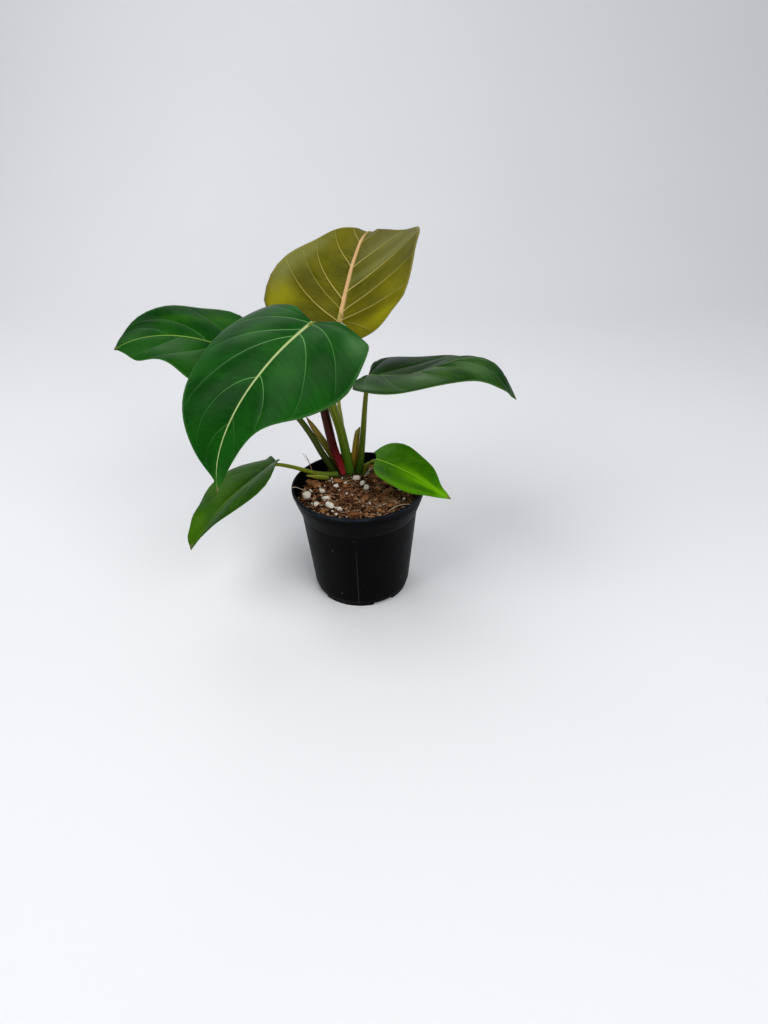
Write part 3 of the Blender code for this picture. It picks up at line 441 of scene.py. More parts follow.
def merge(parts):
    """One set of points, faces and marks from several."""
    points, faces, marks, base = [], [], {}, 0
    for part_points, part_faces, part_marks in parts:
        points.append(part_points)
        faces += [tuple(base + k for k in face) for face in part_faces]
        for key, values in part_marks.items():
            marks.setdefault(key, []).append(values)
        base += len(part_points)
    return np.vstack(points), faces, {key: np.concatenate(values) for key, values in marks.items()}


# ---------------------------------------------------------------- materials


class Paint:
    """A Principled material under construction. Its methods add a node and return its output."""

    def __init__(self, name, roughness=0.5, specular=0.1):
        self.material = bpy.data.materials.new(name)
        self.material.use_nodes = True
        self.tree = self.material.node_tree
        self.surface = self.tree.nodes["Principled BSDF"]
        self.surface.inputs["Roughness"].default_value = roughness
        self.surface.inputs["Specular IOR Level"].default_value = specular

    def add(self, kind, output=0, settings=None, **inputs):
        node = self.tree.nodes.new(kind)
        for key, value in (settings or {}).items():
            setattr(node, key, value)
        for key, value in inputs.items():
            socket = node.inputs[int(key[1:])] if key[1:].isdigit() else node.inputs[key]
            if isinstance(value, bpy.types.NodeSocket):
                self.tree.links.new(value, socket)
            else:
                socket.default_value = value
        return node.outputs[output]

    def mark(self, name):
        return self.add("ShaderNodeAttribute", "Fac", {"attribute_name": name})

    def position(self):
        return self.add("ShaderNodeTexCoord", "Object")

    def combine(self, x, y, z=0.0):
        return self.add("ShaderNodeCombineXYZ", X=x, Y=y, Z=z)

    def stretch(self, vector, x, y, z):
        return self.add("ShaderNodeVectorMath", 0, {"operation": "MULTIPLY"}, i0=vector, i1=(x, y, z))

    def noise(self, vector, scale, detail=3.0, roughness=0.5):
        return self.add("ShaderNodeTexNoise", "Fac", Vector=vector, Scale=scale, Detail=detail,
                        Roughness=roughness)

    def spread(self, value, low, high, start=0.0, end=1.0):
        """The value from low..high spread over start..end, and held beyond."""
        return self.add("ShaderNodeMapRange", 0, {"interpolation_type": "SMOOTHSTEP"}, Value=value,
                        **{"From Min": low, "From Max": high, "To Min": start, "To Max": end})

    def maths(self, operation, a, b):
        return self.add("ShaderNodeMath", 0, {"operation": operation}, i0=a, i1=b)

    def times(self, a, b):
        return self.maths("MULTIPLY", a, b)

    def mix(self, share, a, b):
        """Colour a where share is 0 and b where it is 1."""
        a, b = ((*c, 1.0) if isinstance(c, tuple) else c for c in (a, b))
        return self.add("ShaderNodeMix", 2, {"data_type": "RGBA"}, i0=share, i6=a, i7=b)

    def ramp(self, value, *stops):
        node = self.tree.nodes.new("ShaderNodeValToRGB")
        self.tree.links.new(value, node.inputs[0])
        elements = node.color_ramp.elements
        while len(elements) < len(stops):
            elements.new(0.5)
        for element, (position, _) in zip(elements, stops):
            element.position = position
        for element, (_, colour) in zip(elements, stops):
            element.color = (*colour, 1.0)
        return node.outputs[0]

    def finish(self, colour=None, roughness=None, heights=(), strength=0.3, distance=0.0005):
        """Links colour, roughness and the summed heights, as bump, to the surface."""
        if colour is not None:
            self.tree.links.new(colour, self.surface.inputs["Base Color"])
        if roughness is not None:
            self.tree.links.new(roughness, self.surface.inputs["Roughness"])
        if heights:
            total = heights[0]
            for height in heights[1:]:
                total = self.maths("ADD", total, height)
            normal = self.add("ShaderNodeBump", Strength=strength, Distance=distance, Height=total)
            self.tree.links.new(normal, self.surface.inputs["Normal"])
        return self.material


# Colours of each leaf's two faces: deep green, pale green, side veins and midrib
LEAF_COLOURS = {
    "leaf_1": {
        "top": ((0.004, 0.045, 0.004), (0.014, 0.085, 0.010), (0.10, 0.22, 0.04), (0.30, 0.36, 0.10)),
        "under": ((0.056, 0.056, 0.001), (0.125, 0.116, 0.002), (0.46, 0.38, 0.12), (0.68, 0.42, 0.20)),
    },
    "leaf_2": {
        "top": ((0.001, 0.036, 0.001), (0.006, 0.078, 0.003), (0.13, 0.30, 0.09), (0.44, 0.54, 0.22)),
        "under": ((0.040, 0.095, 0.010), (0.080, 0.140, 0.018), (0.28, 0.32, 0.10), (0.45, 0.42, 0.16)),
    },
    "leaf_3": {
        "top": ((0.001, 0.038, 0.001), (0.010, 0.080, 0.003), (0.09, 0.25, 0.05), (0.20, 0.36, 0.06)),
        "under": ((0.040, 0.100, 0.008), (0.080, 0.150, 0.015), (0.25, 0.32, 0.08), (0.42, 0.42, 0.14)),
    },
    "leaf_4": {
        "top": ((0.004, 0.034, 0.002), (0.024, 0.082, 0.008), (0.17, 0.29, 0.08), (0.13, 0.25, 0.05)),
        "under": ((0.040, 0.090, 0.010), (0.080, 0.130, 0.018), (0.25, 0.30, 0.09), (0.42, 0.42, 0.14)),
    },
    "leaf_5": {
        "top": ((0.010, 0.056, 0.001), (0.034, 0.105, 0.001), (0.07, 0.18, 0.01), (0.10, 0.24, 0.01)),
        "under": ((0.050, 0.130, 0.008), (0.090, 0.190, 0.015), (0.22, 0.34, 0.06), (0.35, 0.42, 0.10)),
    },
    "leaf_6": {
        "top": ((0.022, 0.120, 0.001), (0.075, 0.230, 0.002), (0.12, 0.32, 0.01), (0.26, 0.50, 0.02)),
        "under": ((0.110, 0.300, 0.010), (0.180, 0.420, 0.020), (0.35, 0.55, 0.09), (0.45, 0.60, 0.15)),
    },
}


def leaf_material(leaf_name, side):
    """Waxy blade: cloudy green, fine streaks along the side veins, pale veins and midrib, and painted
    light: a bright glow where light shines through, a painted sheen highlight and painted shade.
    """
    deep, pale, vein_tone, rib_tone = LEAF_COLOURS[leaf_name][side]
    paint = Paint(f"{leaf_name}_{side}", specular=0.05)
    spot = paint.position()
    across = paint.combine(paint.mark("row"), paint.mark("column"))
    clouds = paint.noise(spot, 26.0, 3.0, 0.55)
    streaks = paint.noise(paint.stretch(across, 90.0, 3.0, 1.0), 1.0, 4.0, 0.6)
    share = paint.maths("ADD", paint.times(clouds, 0.65), paint.times(streaks, 0.35))
    colour = paint.mix(paint.spread(share, 0.34, 0.66), deep, pale)
    worn_rib = paint.mix(paint.noise(spot, 160.0), rib_tone, tuple(0.8 * c for c in rib_tone))
    # Painted light first: a bright glow of light shining through the blade, a painted sheen highlight and
    # painted shade. Then the blade's own pale margin, veins, midrib and dry tip.
    for mark, strength, tone in (
        ("painted_glow", 0.85, (1.9 * pale[0] + 0.02, 1.9 * pale[1] + 0.02, 0.9 * pale[2])),
        ("painted_sheen", 0.6, (pale[0] + 0.070, pale[1] + 0.095, pale[2] + 0.060)),
        ("painted_shade", 0.75, tuple(0.4 * c for c in deep)),
        ("margin", 0.6, tuple(0.5 * (v + p) for v, p in zip(vein_tone, pale))),
        ("vein", 1.0, vein_tone),
        ("rib", 1.0, worn_rib),
        ("dry", 1.0, DRY_TIP),
    ):
        colour = paint.mix(paint.times(paint.mark(mark), strength), colour, tone)
    smoothest = 0.30 if side == "top" else 0.42
    roughness = paint.spread(clouds, 0.3, 0.7, smoothest, smoothest + 0.12)
    pores = paint.times(paint.noise(spot, 900.0, 2.0), 0.5)
    return paint.finish(colour, roughness, (streaks, pores), 0.12, 0.0004)


# ---------------------------------------------------------------- leaf blades


def blade_outline(leaf, half, count):
    """Half of the flat outline, from the back of the lobe to the tip: (along, across)."""
    lobe, widest, shoulder = leaf["lobe"], leaf["widest"], leaf["shoulder"][half]
    heart = ((-lobe, 0.36), (-0.72 * lobe, 0.68), (0.02, 0.90))
    points = [
        *leaf.get("base", {}).get(half, heart),
        (widest, 1.0),
        (0.5 * (widest + 0.62), 0.5 * (1.0 + shoulder) + 0.05),
        (0.62, shoulder),
        (0.82, leaf["neck"][half]),
        (0.93, leaf["drip"][half]),
        *leaf.get("point", ((1.0, 0.0),)),
    ]
    return smooth_curve(points, count) * (leaf["length"], leaf["half_width"])


def flat_point(leaf, half, row, column):
    """Flat places at shares row of the margin and column of the way out to it."""
    outline = blade_outline(leaf, half, 400)
    share = np.linspace(0.0, 1.0, 401)
    margin = np.stack([np.interp(row, share, outline[:, k]) for k in (0, 1)], -1)
    along = np.clip((row - FAN_SHARE) / (1 - FAN_SHARE), 0.0, 1.0) ** 1.15 * leaf["length"]
    start = np.stack([along, np.zeros_like(along)], -1)
    bend = np.stack([along + 0.3 * (margin[..., 0] - along), 0.52 * margin[..., 1]], -1)
    out = column[..., None]
    return (1 - out) ** 2 * start + 2 * out * (1 - out) * bend + out**2 * margin


def blade_frame(leaf, along):
    """Midrib point, forward, left and up directions at distances along the blade."""
    steps = 400
    distance = np.linspace(0.0, leaf["length"], steps + 1)

    def directions(share):
        turn = np.radians(leaf["heading"] + leaf["sweep"] * share)
        rise = leaf["rise"] - leaf["arch"] * share - leaf["droop"] * share**4
        return turn, np.radians(rise + leaf.get("hump", 0.0) * np.sin(np.pi * share) ** 2)

    def forward_of(share):
        turn, rise = directions(share)
        return np.stack([np.cos(rise) * np.cos(turn), np.cos(rise) * np.sin(turn), np.sin(rise)], -1)

    heading = forward_of(distance / leaf["length"])
    walked = np.cumsum(0.5 * (heading[1:] + heading[:-1]) * (leaf["length"] / steps), axis=0)
    midrib = np.vstack([np.zeros(3), walked])
    inside = np.clip(along, 0.0, leaf["length"])
    centre = np.stack([np.interp(inside, distance, midrib[:, k]) for k in range(3)], -1)
    share = inside / leaf["length"]
    forward = forward_of(share)
    turn, _ = directions(share)
    level = np.stack([-np.sin(turn), np.cos(turn), np.zeros_like(turn)], -1)
    upward = np.cross(forward, level)
    roll = np.radians(leaf["roll"] + leaf["twist"] * share)[..., None]
    left = np.cos(roll) * level + np.sin(roll) * upward
    up = np.cos(roll) * upward - np.sin(roll) * level
    attach = np.array(leaf["attach"]) + (0.0, 0.0, MIX_TOP)
    beyond = np.minimum(along, 0.0) + np.maximum(along - leaf["length"], 0.0)
    return centre + beyond[..., None] * forward + attach, forward, left, up


def bend_half(leaf, half, flat, row, column):
    """Bends flat places into the leaf's curved surface."""
    along, across = flat[..., 0], flat[..., 1]
    side = 1 - 2 * half
    centre, _, left, up = blade_frame(leaf, along)
    towards_tip = np.clip(along / leaf["length"], 0.0, 1.0)
    fold = np.radians(leaf["fold"][half] + leaf.get("fold_change", (0.0, 0.0))[half] * towards_tip)
    rate = np.radians(leaf["curl"][half]) / leaf["half_width"] or 1e-6
    outward = (np.sin(fold + rate * across) - np.sin(fold)) / rate
    lift = (np.cos(fold) - np.cos(fold + rate * across)) / rate
    lift = lift - np.tan(np.radians(leaf["lobe_lift"])) * np.minimum(along, 0.0)
    swing = np.sin(2 * np.pi * WAVES * row + np.radians(leaf["wave_start"][half]))
    lift = lift + leaf["wave"][half] * column**2 * swing * np.sqrt(np.maximum(np.sin(np.pi * row), 0.0))
    return centre + side * outward[..., None] * left + lift[..., None] * up


def blade_rows(veins, column, spacing, vein_width):
    """Row shares for each column, with narrow rows on each side vein, and marks for each row."""
    width = vein_width * (1.0 - 0.75 * column) / spacing
    lines, vein_mark, swell = [], [], []
    edge = np.zeros_like(column)
    for number, (start, end, bend, strength) in enumerate(list(veins) + [(1.0, 1.0, 1.0, 0.0)]):
        centre = start + (end - start) * column**bend
        last = number == len(veins)
        reach = np.zeros_like(column) if last else np.minimum(1.5 * width, 0.3 * (centre - edge))
        for step in range(1 if number else 0, ROWS_BETWEEN):
            part = step / ROWS_BETWEEN
            lines.append(edge + (centre - reach - edge) * part)
            vein_mark.append(np.zeros_like(column))
            swell.append(np.full_like(column, np.sin(np.pi * part)))
        if last:
            break
        for offset, mark in ((-1.0, 0.0), (-0.35, 0.9), (0.0, 1.0), (0.35, 0.9), (1.0, 0.0)):
            lines.append(centre + reach * offset)
            vein_mark.append(mark * strength * (1.0 - 0.8 * column**1.5))
            swell.append(np.full_like(column, -0.25 * mark * strength))
        edge = centre + reach
    lines.append(np.ones_like(column))
    vein_mark.append(np.zeros_like(column))
    swell.append(np.zeros_like(column))
    return np.array(lines), np.array(vein_mark), np.array(swell)


def build_half(name, leaf, half):
    """Grid of surface points of one half, with its marks."""
    rib_low, rib_high = RELIEF[name]["rib"]
    inner = len(RIB_STEPS)
    out = np.linspace(0.0, 1.0, BLADE_COLUMNS + 1)[1:]
    column = np.concatenate([RIB_STEPS * 0.02, 0.035 + 0.965 * out**0.9])
    row, vein, swell = blade_rows(VEINS[name][half], column, 1.9 * leaf["length"], RELIEF[name]["vein"])
    column = np.broadcast_to(column, row.shape).copy()
    # The innermost columns follow the midrib's own width
    share = np.clip((row[:, :1] - FAN_SHARE) / (1 - FAN_SHARE), 0.0, 1.0)
    rib_width = rib_low + (rib_high - rib_low) * share**0.55
    margin = flat_point(leaf, half, row, np.ones_like(row))[..., 1]
    at_rib = rib_width * RIB_STEPS / np.maximum(1.04 * margin[:, :inner], 0.5)
    column[:, :inner] = np.minimum(at_rib, 0.03 * np.arange(inner))
    flat = flat_point(leaf, half, row, column)
    rib, ridge = np.zeros_like(row), np.zeros_like(row)
    rib[:, :inner] = (1.0, 1.0, 0.75, 0.0)
    ridge[:-1, :inner] = np.sqrt(1.0 - (RIB_STEPS / RIB_STEPS[-1]) ** 2)
    swell *= RELIEF[name]["swell"] * np.clip(np.sin(np.pi * column**0.8), 0.0, 1.0) ** 0.7
    swell *= np.clip((1.0 - row) * 6.0, 0.0, 1.0) * np.clip(row * 8.0, 0.0, 1.0)
    marks = {
        "row": row + RIGHT_HALF * half,
        "column": column,
        "vein": vein * np.clip(column * 40.0, 0.0, 1.0),
        "rib": rib,
        "margin": np.clip((column - 0.965) / 0.03, 0.0, 1.0),
        "dry": np.clip((row - 0.975) / 0.02, 0.0, 1.0),
        "raise": swell,
        "rib_raise": ridge,
    }
    return bend_half(leaf, half, flat, row, column), marks


def join_halves(halves):
    """Points, marks and faces of a blade's middle surface, its halves joined along the midrib."""
    points, marks, lookup, faces = [], {}, {}, []
    for half, (grid, half_marks) in enumerate(halves):
        rows, columns = grid.shape[:2]
        index = np.zeros((rows, columns), int)
        for r, c in np.ndindex(rows, columns):
            if r == rows - 1:
                key = "tip"
            else:
                key = tuple(round(float(k), 3) for k in grid[r, c]) if c == 0 else (half, r, c, "off")
            if key not in lookup:
                lookup[key] = len(points)
                points.append(grid[r, c])
                for mark, values in half_marks.items():
                    marks.setdefault(mark, []).append(values[r, c])
            index[r, c] = lookup[key]
        for r, c in np.ndindex(rows - 1, columns - 1):
            ring = (index[r, c], index[r + 1, c], index[r + 1, c + 1], index[r, c + 1])
            ring = list(dict.fromkeys(int(k) for k in ring))
            if len(ring) > 2:
                faces.append(ring if half == 1 else ring[::-1])
    return np.array(points), {key: np.array(values) for key, values in marks.items()}, faces


def build_leaf(name, leaf):
    """The closed blade: a top and an underside grown from one surface, with the midrib raised."""
    points, marks, faces = join_halves([build_half(name, leaf, half) for half in (0, 1)])
    normals = point_normals(points, faces)
    up = blade_frame(leaf, np.array([0.0]))[3][0] * (-1 if name in TURNED_OVER else 1)
    if normals[0].dot(up) < 0:
        normals = -normals
        faces = [face[::-1] for face in faces]
    raised = marks.pop("raise")
    rib_low, rib_high = RELIEF[name]["rib"]
    share = np.clip((marks["row"] % RIGHT_HALF - FAN_SHARE) / (1 - FAN_SHARE), 0.0, 1.0)
    rib = (rib_low + (rib_high - rib_low) * share) * marks.pop("rib_raise")
    thickness = BLADE_THICKNESS * (0.5 - 0.3 * marks["margin"])
    top = points + normals * (raised + thickness + 0.12 * rib)[:, None]
    under = points + normals * (raised - thickness - 0.75 * rib - 0.45 * marks["vein"])[:, None]
    count = len(points)
    edges = dict.fromkeys((a, b) for face in faces for a, b in zip(face, face[1:] + face[:1]))
    rim = [(b, a, count + a, count + b) for a, b in edges if (b, a) not in edges]
    solid = faces + [[count + k for k in reversed(face)] for face in faces] + rim
    face_material = [0] * len(faces) + [1] * len(faces) + [0] * len(rim)
    marks = {key: np.tile(values, 2) for key, values in marks.items()}
    # Marks of painted light: glow where light shines through, sheen highlights and shade
    marks.update(painted_light_marks(name, marks))
    materials = [leaf_material(name, "top"), leaf_material(name, "under")]
    piece = add_mesh(name, np.vstack([top, under]), solid, materials, face_material, marks)
    face_outwards(piece)
    place(piece, LEAF_SLOT.get(name, "leaf_dark"), name)


def point_normals(points, faces):
    normals = np.zeros_like(points)
    for face in faces:
        corners = points[face]
        normal = np.zeros(3)
        for k in range(1, len(face) - 1):
            normal += np.cross(corners[k] - corners[0], corners[k + 1] - corners[0])
        normals[face] += normal
    lengths = np.linalg.norm(normals, axis=1)[:, None]
    return normals / np.maximum(lengths, 1e-12)


# Soft patches of painted light on a blade: a bright glow where light shines through, sheen highlights and
# shade. Each gives half, row and column of the middle, their spreads, strength
PAINTED_LIGHT = {
    "painted_glow": {
        "leaf_1": [(0, 0.39, 0.78, 0.05, 0.20, 1.0), (0, 0.33, 0.90, 0.05, 0.12, 0.8),
                   (1, 0.24, 0.82, 0.08, 0.25, 0.9), (1, 0.10, 0.60, 0.10, 0.40, 0.4),
                   (1, 0.38, 0.70, 0.05, 0.20, 0.3), (0, 0.58, 0.55, 0.05, 0.25, 0.3)],
        "leaf_2": [(0, 0.97, 0.60, 0.03, 0.80, 0.7), (1, 0.97, 0.60, 0.03, 0.80, 0.7),
                   (0, 0.68, 0.74, 0.006, 0.02, 1.0)],
        "leaf_3": [(1, 0.62, 0.60, 0.10, 0.12, 0.35), (1, 0.40, 0.70, 0.10, 0.15, 0.3)],
        "leaf_5": [(0, 0.57, 0.25, 0.12, 0.14, 0.5), (1, 0.85, 0.50, 0.10, 0.50, 0.4),
                   (0, 0.88, 0.50, 0.08, 0.50, 0.4)],
        "leaf_6": [(0, 0.76, 0.12, 0.20, 0.14, 0.8), (1, 0.80, 0.20, 0.20, 0.20, 0.9),
                   (0, 0.94, 0.50, 0.06, 0.60, 0.8), (1, 0.94, 0.50, 0.06, 0.60, 0.8),
                   (1, 0.60, 0.85, 0.30, 0.12, 0.5)],
    },
    "painted_sheen": {
        "leaf_1": [(0, 0.62, 0.88, 0.16, 0.16, 0.8), (0, 0.48, 0.95, 0.08, 0.12, 0.7),
                   (1, 0.545, 0.50, 0.030, 0.60, 0.8), (1, 0.66, 0.60, 0.05, 0.50, 0.5)],
        "leaf_2": [(0, 0.28, 0.78, 0.035, 0.14, 1.0), (0, 0.24, 0.92, 0.05, 0.08, 0.7),
                   (0, 0.52, 0.35, 0.09, 0.22, 0.30), (1, 0.44, 0.50, 0.05, 0.30, 0.25)],
        "leaf_3": [(0, 0.60, 0.60, 0.12, 0.20, 0.5), (1, 0.90, 0.50, 0.06, 0.50, 0.3)],
        "leaf_4": [(1, 0.52, 0.50, 0.05, 0.28, 1.0), (1, 0.70, 0.55, 0.07, 0.30, 0.8),
                   (1, 0.30, 0.84, 0.05, 0.14, 1.0), (1, 0.60, 0.30, 0.03, 0.30, 0.6),
                   (0, 0.44, 0.70, 0.03, 0.20, 0.4)],
        "leaf_5": [(1, 0.57, 0.45, 0.14, 0.20, 0.3)],
    },
    "painted_shade": {
        "leaf_1": [(0, 0.38, 1.00, 0.14, 0.030, 1.0), (1, 0.44, 1.00, 0.14, 0.025, 0.9),
                   (0, 0.46, 0.35, 0.04, 0.25, 0.5), (0, 0.15, 0.30, 0.15, 0.30, 0.4),
                   (1, 0.47, 0.60, 0.04, 0.40, 0.35)],
        "leaf_2": [(1, 0.80, 0.60, 0.20, 0.40, 0.5), (0, 0.42, 0.70, 0.04, 0.30, 0.3),
                   (0, 0.36, 0.92, 0.05, 0.10, 0.5), (1, 0.40, 0.80, 0.04, 0.20, 0.4)],
        "leaf_3": [(1, 0.78, 0.70, 0.12, 0.30, 0.6), (1, 0.50, 0.85, 0.20, 0.12, 0.5)],
        "leaf_4": [(0, 0.32, 0.50, 0.14, 0.70, 1.0), (0, 0.56, 0.40, 0.10, 0.60, 0.6),
                   (1, 0.63, 0.75, 0.025, 0.20, 0.7), (1, 0.45, 0.97, 0.25, 0.05, 0.7),
                   (1, 0.90, 0.50, 0.10, 0.60, 0.5), (1, 0.22, 0.97, 0.14, 0.05, 1.0)],
        "leaf_5": [(1, 0.50, 0.06, 0.25, 0.06, 0.9), (0, 0.70, 0.95, 0.25, 0.06, 0.8)],
        "leaf_6": [(0, 0.45, 0.45, 0.20, 0.25, 0.35), (1, 0.45, 0.50, 0.15, 0.25, 0.35)],
    },
}


def painted_light_marks(name, marks):
    """Painted glow, sheen and shade at each point, from the soft patches of painted light listed above."""
    half = (marks["row"] > 1.3).astype(float)
    row = marks["row"] - RIGHT_HALF * half
    tones = {}
    for tone, leaves in PAINTED_LIGHT.items():
        total = np.zeros(len(row))
        for on_half, row_middle, column_middle, row_spread, column_spread, strength in leaves.get(name, ()):
            away = ((row - row_middle) / row_spread) ** 2
            away += ((marks["column"] - column_middle) / column_spread) ** 2
            total += strength * np.exp(-away) * (half == on_half)
        tones[tone] = np.clip(total, 0.0, 1.0)
    return tones


# ---------------------------------------------------------------- stalks and sheaths


def stalk_material(name, roughness, *stops, streak=0.35):
    """Smooth waxy stem: colours along it, darker and paler streaks, and faint specks."""
    paint = Paint(name, roughness)
    along = paint.mark("along")
    around = paint.combine(paint.mark("round_x"), paint.mark("round_y"), along)
    colour = paint.ramp(along, *stops)
    streaks = paint.noise(paint.stretch(around, 3.0, 3.0, 1.2), 1.0, 4.0, 0.6)
    fine = paint.noise(paint.stretch(around, 9.0, 9.0, 1.5), 1.0, 3.0, 0.6)
    darker = paint.add("ShaderNodeHueSaturation", 0, Color=colour, Value=0.55, Saturation=1.05)
    paler = paint.add("ShaderNodeHueSaturation", 0, Color=colour, Value=1.6, Saturation=0.85)
    colour = paint.mix(paint.times(paint.spread(streaks, 0.55, 0.35), 2.0 * streak), colour, darker)
    colour = paint.mix(paint.times(paint.spread(streaks, 0.5, 0.7), streak), colour, paler)
    specks = paint.spread(paint.noise(paint.position(), 900.0, 2.0), 0.68, 0.74)
    colour = paint.mix(paint.times(specks, 0.3), colour, paler)
    rough = paint.spread(streaks, 0.3, 0.7, roughness - 0.06, roughness + 0.1)
    return paint.finish(colour, rough, (fine,), 0.25, 0.0005)


# Colours from the foot to the end, each with its share of the length
STALK_COLOURS = {
    "petiole_1": ((0.0, (0.20, 0.24, 0.02)), (0.5, (0.34, 0.36, 0.05)), (1.0, (0.42, 0.32, 0.09))),
    "petiole_2": (
        (0.0, (0.055, 0.170, 0.008)), (0.35, (0.110, 0.150, 0.008)), (1.0, (0.15, 0.17, 0.02)),
    ),
    "petiole_3": (
        (0.0, (0.026, 0.050, 0.006)), (0.5, (0.070, 0.090, 0.008)), (1.0, (0.11, 0.13, 0.02)),
    ),
    "petiole_4": (
        (0.0, (0.030, 0.100, 0.006)), (0.5, (0.095, 0.130, 0.006)), (1.0, (0.20, 0.20, 0.02)),
    ),
    "petiole_5": ((0.0, (0.07, 0.13, 0.01)), (0.5, (0.20, 0.24, 0.01)), (1.0, (0.16, 0.20, 0.01))),
    "petiole_6": ((0.0, (0.20, 0.22, 0.02)), (0.6, (0.28, 0.32, 0.03)), (1.0, (0.24, 0.38, 0.03))),
}
SHEATH_COLOURS = {
    "sheath_left": (
        (0.0, (0.20, 0.17, 0.02)), (0.5, (0.30, 0.27, 0.03)), (0.86, (0.32, 0.22, 0.05)),
        (1.0, (0.10, 0.045, 0.02)),
    ),
    "sheath_right": (
        (0.0, (0.24, 0.17, 0.02)), (0.4, (0.42, 0.27, 0.03)), (0.85, (0.30, 0.25, 0.03)),
        (1.0, (0.46, 0.40, 0.14)),
    ),
    "sheath_small": ((0.0, (0.30, 0.30, 0.03)), (0.6, (0.46, 0.44, 0.06)), (1.0, (0.55, 0.48, 0.14))),
    "sheath_low": ((0.0, (0.18, 0.21, 0.02)), (0.6, (0.26, 0.30, 0.02)), (1.0, (0.40, 0.34, 0.08))),
}


def above_mix(points):
    return [(x, y, MIX_TOP + height) for x, y, height in points]


def stalk_end(leaf_name, radius):
    """The stalk's last two points, sunk into the underside of the midrib's foot."""
    centre, forward, _, up = (part[0] for part in blade_frame(LEAVES[leaf_name], np.array([0.0])))
    if leaf_name in TURNED_OVER:
        up = -up
    return [tuple(centre - up * radius), tuple(centre + forward * 7.0 - up * 0.35 * radius)]


def build_stalks():
    for name, (foot, path, foot_radius, top_radius) in STALKS.items():
        points = [(foot[0], foot[1], STALK_FOOT - 1.5)] + above_mix(path)
        points += stalk_end("leaf_" + name[-1], top_radius)
        radii = list(np.linspace(foot_radius, top_radius, len(points) - 1)) + [0.3 * top_radius]
        add_stalk(name, points, radii)
    points = above_mix(LOW_STALK) + stalk_end("leaf_5", LOW_STALK_RADII[1])
    radii = list(np.linspace(*LOW_STALK_RADII, len(points) - 1)) + [0.5]
    add_stalk("petiole_5", points, radii)


def add_stalk(name, points, radii):
    shape, faces, marks = tube(points, radii, groove=0.12)
    material = stalk_material(name + "_skin", 0.36, *STALK_COLOURS[name])
    piece = add_mesh(name, shape, faces, [material], marks=marks)
    place(piece, "stalk_green", name)


def roll_section(share, size, thickness):
    """The rolled leaf: a spiral a little over one turn long."""
    turn = np.linspace(0.0, 2 * np.pi * 1.12, 41)
    radius = np.maximum(size * (0.86 + 0.16 * turn / turn[-1]) - thickness, 0.05)
    return turn + 0.69 * share + 0.9, radius, np.zeros_like(turn)


def sheath_section(share, size, thickness, tip):
    """A sheath: an open half-tube that narrows upwards and ends at a slant."""
    opening = np.radians(150.0 - 55.0 * share)
    angle = np.linspace(-opening, opening, 25) + 1.2 + 0.5 * share
    radius = np.maximum(size - thickness, 0.1) * (1.0 + 0.05 * np.sin(3 * angle))
    return angle, radius, tip * share**6 * size * 2.2 * np.cos(angle - 2.4)


def build_new_leaf():
    """The rolled new leaf, with its outer edge winding round a solid core."""
    points = above_mix(NEW_LEAF)
    sheet = rolled_sheet(points, NEW_LEAF_RADII, 70, 0.45, roll_section)
    core = tube(points, [0.8 * r for r in NEW_LEAF_RADII], rings=60)
    shape, faces, marks = merge([sheet, core])
    material = stalk_material(
        "new_leaf_skin", 0.3, (0.0, (0.40, 0.028, 0.030)), (0.12, (0.24, 0.012, 0.018)),
        (0.28, (0.055, 0.006, 0.004)), (0.7, (0.036, 0.008, 0.003)), (1.0, (0.08, 0.03, 0.01)),
    )
    piece = add_mesh("new_leaf_spike", shape, faces, [material], marks=marks)
    face_outwards(piece)
    place(piece, "new_leaf_red", "new_leaf_spike")


def build_sheaths():
    """Papery sheaths with a slanting or pointed end, thin at their edges."""
    for name, sheath in SHEATHS.items():
        points = above_mix(sheath["points"])
        shape, faces, marks = rolled_sheet(
            points, sheath["radii"], 40, 0.35, sheath_section, sheath["tip"]
        )
        material = stalk_material(name + "_skin", 0.5, *SHEATH_COLOURS[name], streak=0.5)
        piece = add_mesh(name, shape, faces, [material], marks=marks)
        face_outwards(piece)
        place(piece, "sheath", name)


# ---------------------------------------------------------------- potting mix


def crown_distance(x, y):
    across, deep = CROWN_HALF_SIZE
    return np.hypot((x - CROWN_CENTRE[0]) / across, (y - CROWN_CENTRE[1]) / deep)


def mix_height(x, y):
    """The CAD's level of the mix: lumpy, lower at the back, flat under the crown."""
    lumps = np.sin(0.23 * x + 1.0) * np.cos(0.27 * y) + 0.6 * np.sin(0.41 * x - 0.37 * y + 2.0)
    back = np.clip((y - 20.0) / 40.0, 0.0, 1.0)
    near = np.clip((crown_distance(x, y) - 1.15) / 0.5, 0.0, 1.0)
    return MIX_TOP + (MIX_LUMP * lumps * 0.6 - MIX_DIP * back**2) * near


def soil_material(name, roughness, *stops, bump=0.8, pitting=0.5):
    """Rough dead matter: each bit has its own tone, with stains and a pitted surface."""
    paint = Paint(name, roughness)
    spot = paint.position()
    stain = paint.noise(spot, 320.0, 4.0, 0.6)
    tone = paint.maths("ADD", paint.times(paint.mark("tint"), 0.75), paint.times(stain, 0.35))
    pits = paint.noise(spot, 1400.0, 4.0, 0.7)
    pitted = paint.spread(pits, 0.5, 0.3, 0.0, pitting)
    colour = paint.mix(pitted, paint.ramp(tone, *stops), (0.020, 0.011, 0.006))
    return paint.finish(colour, None, (pits, stain), bump, 0.0008)


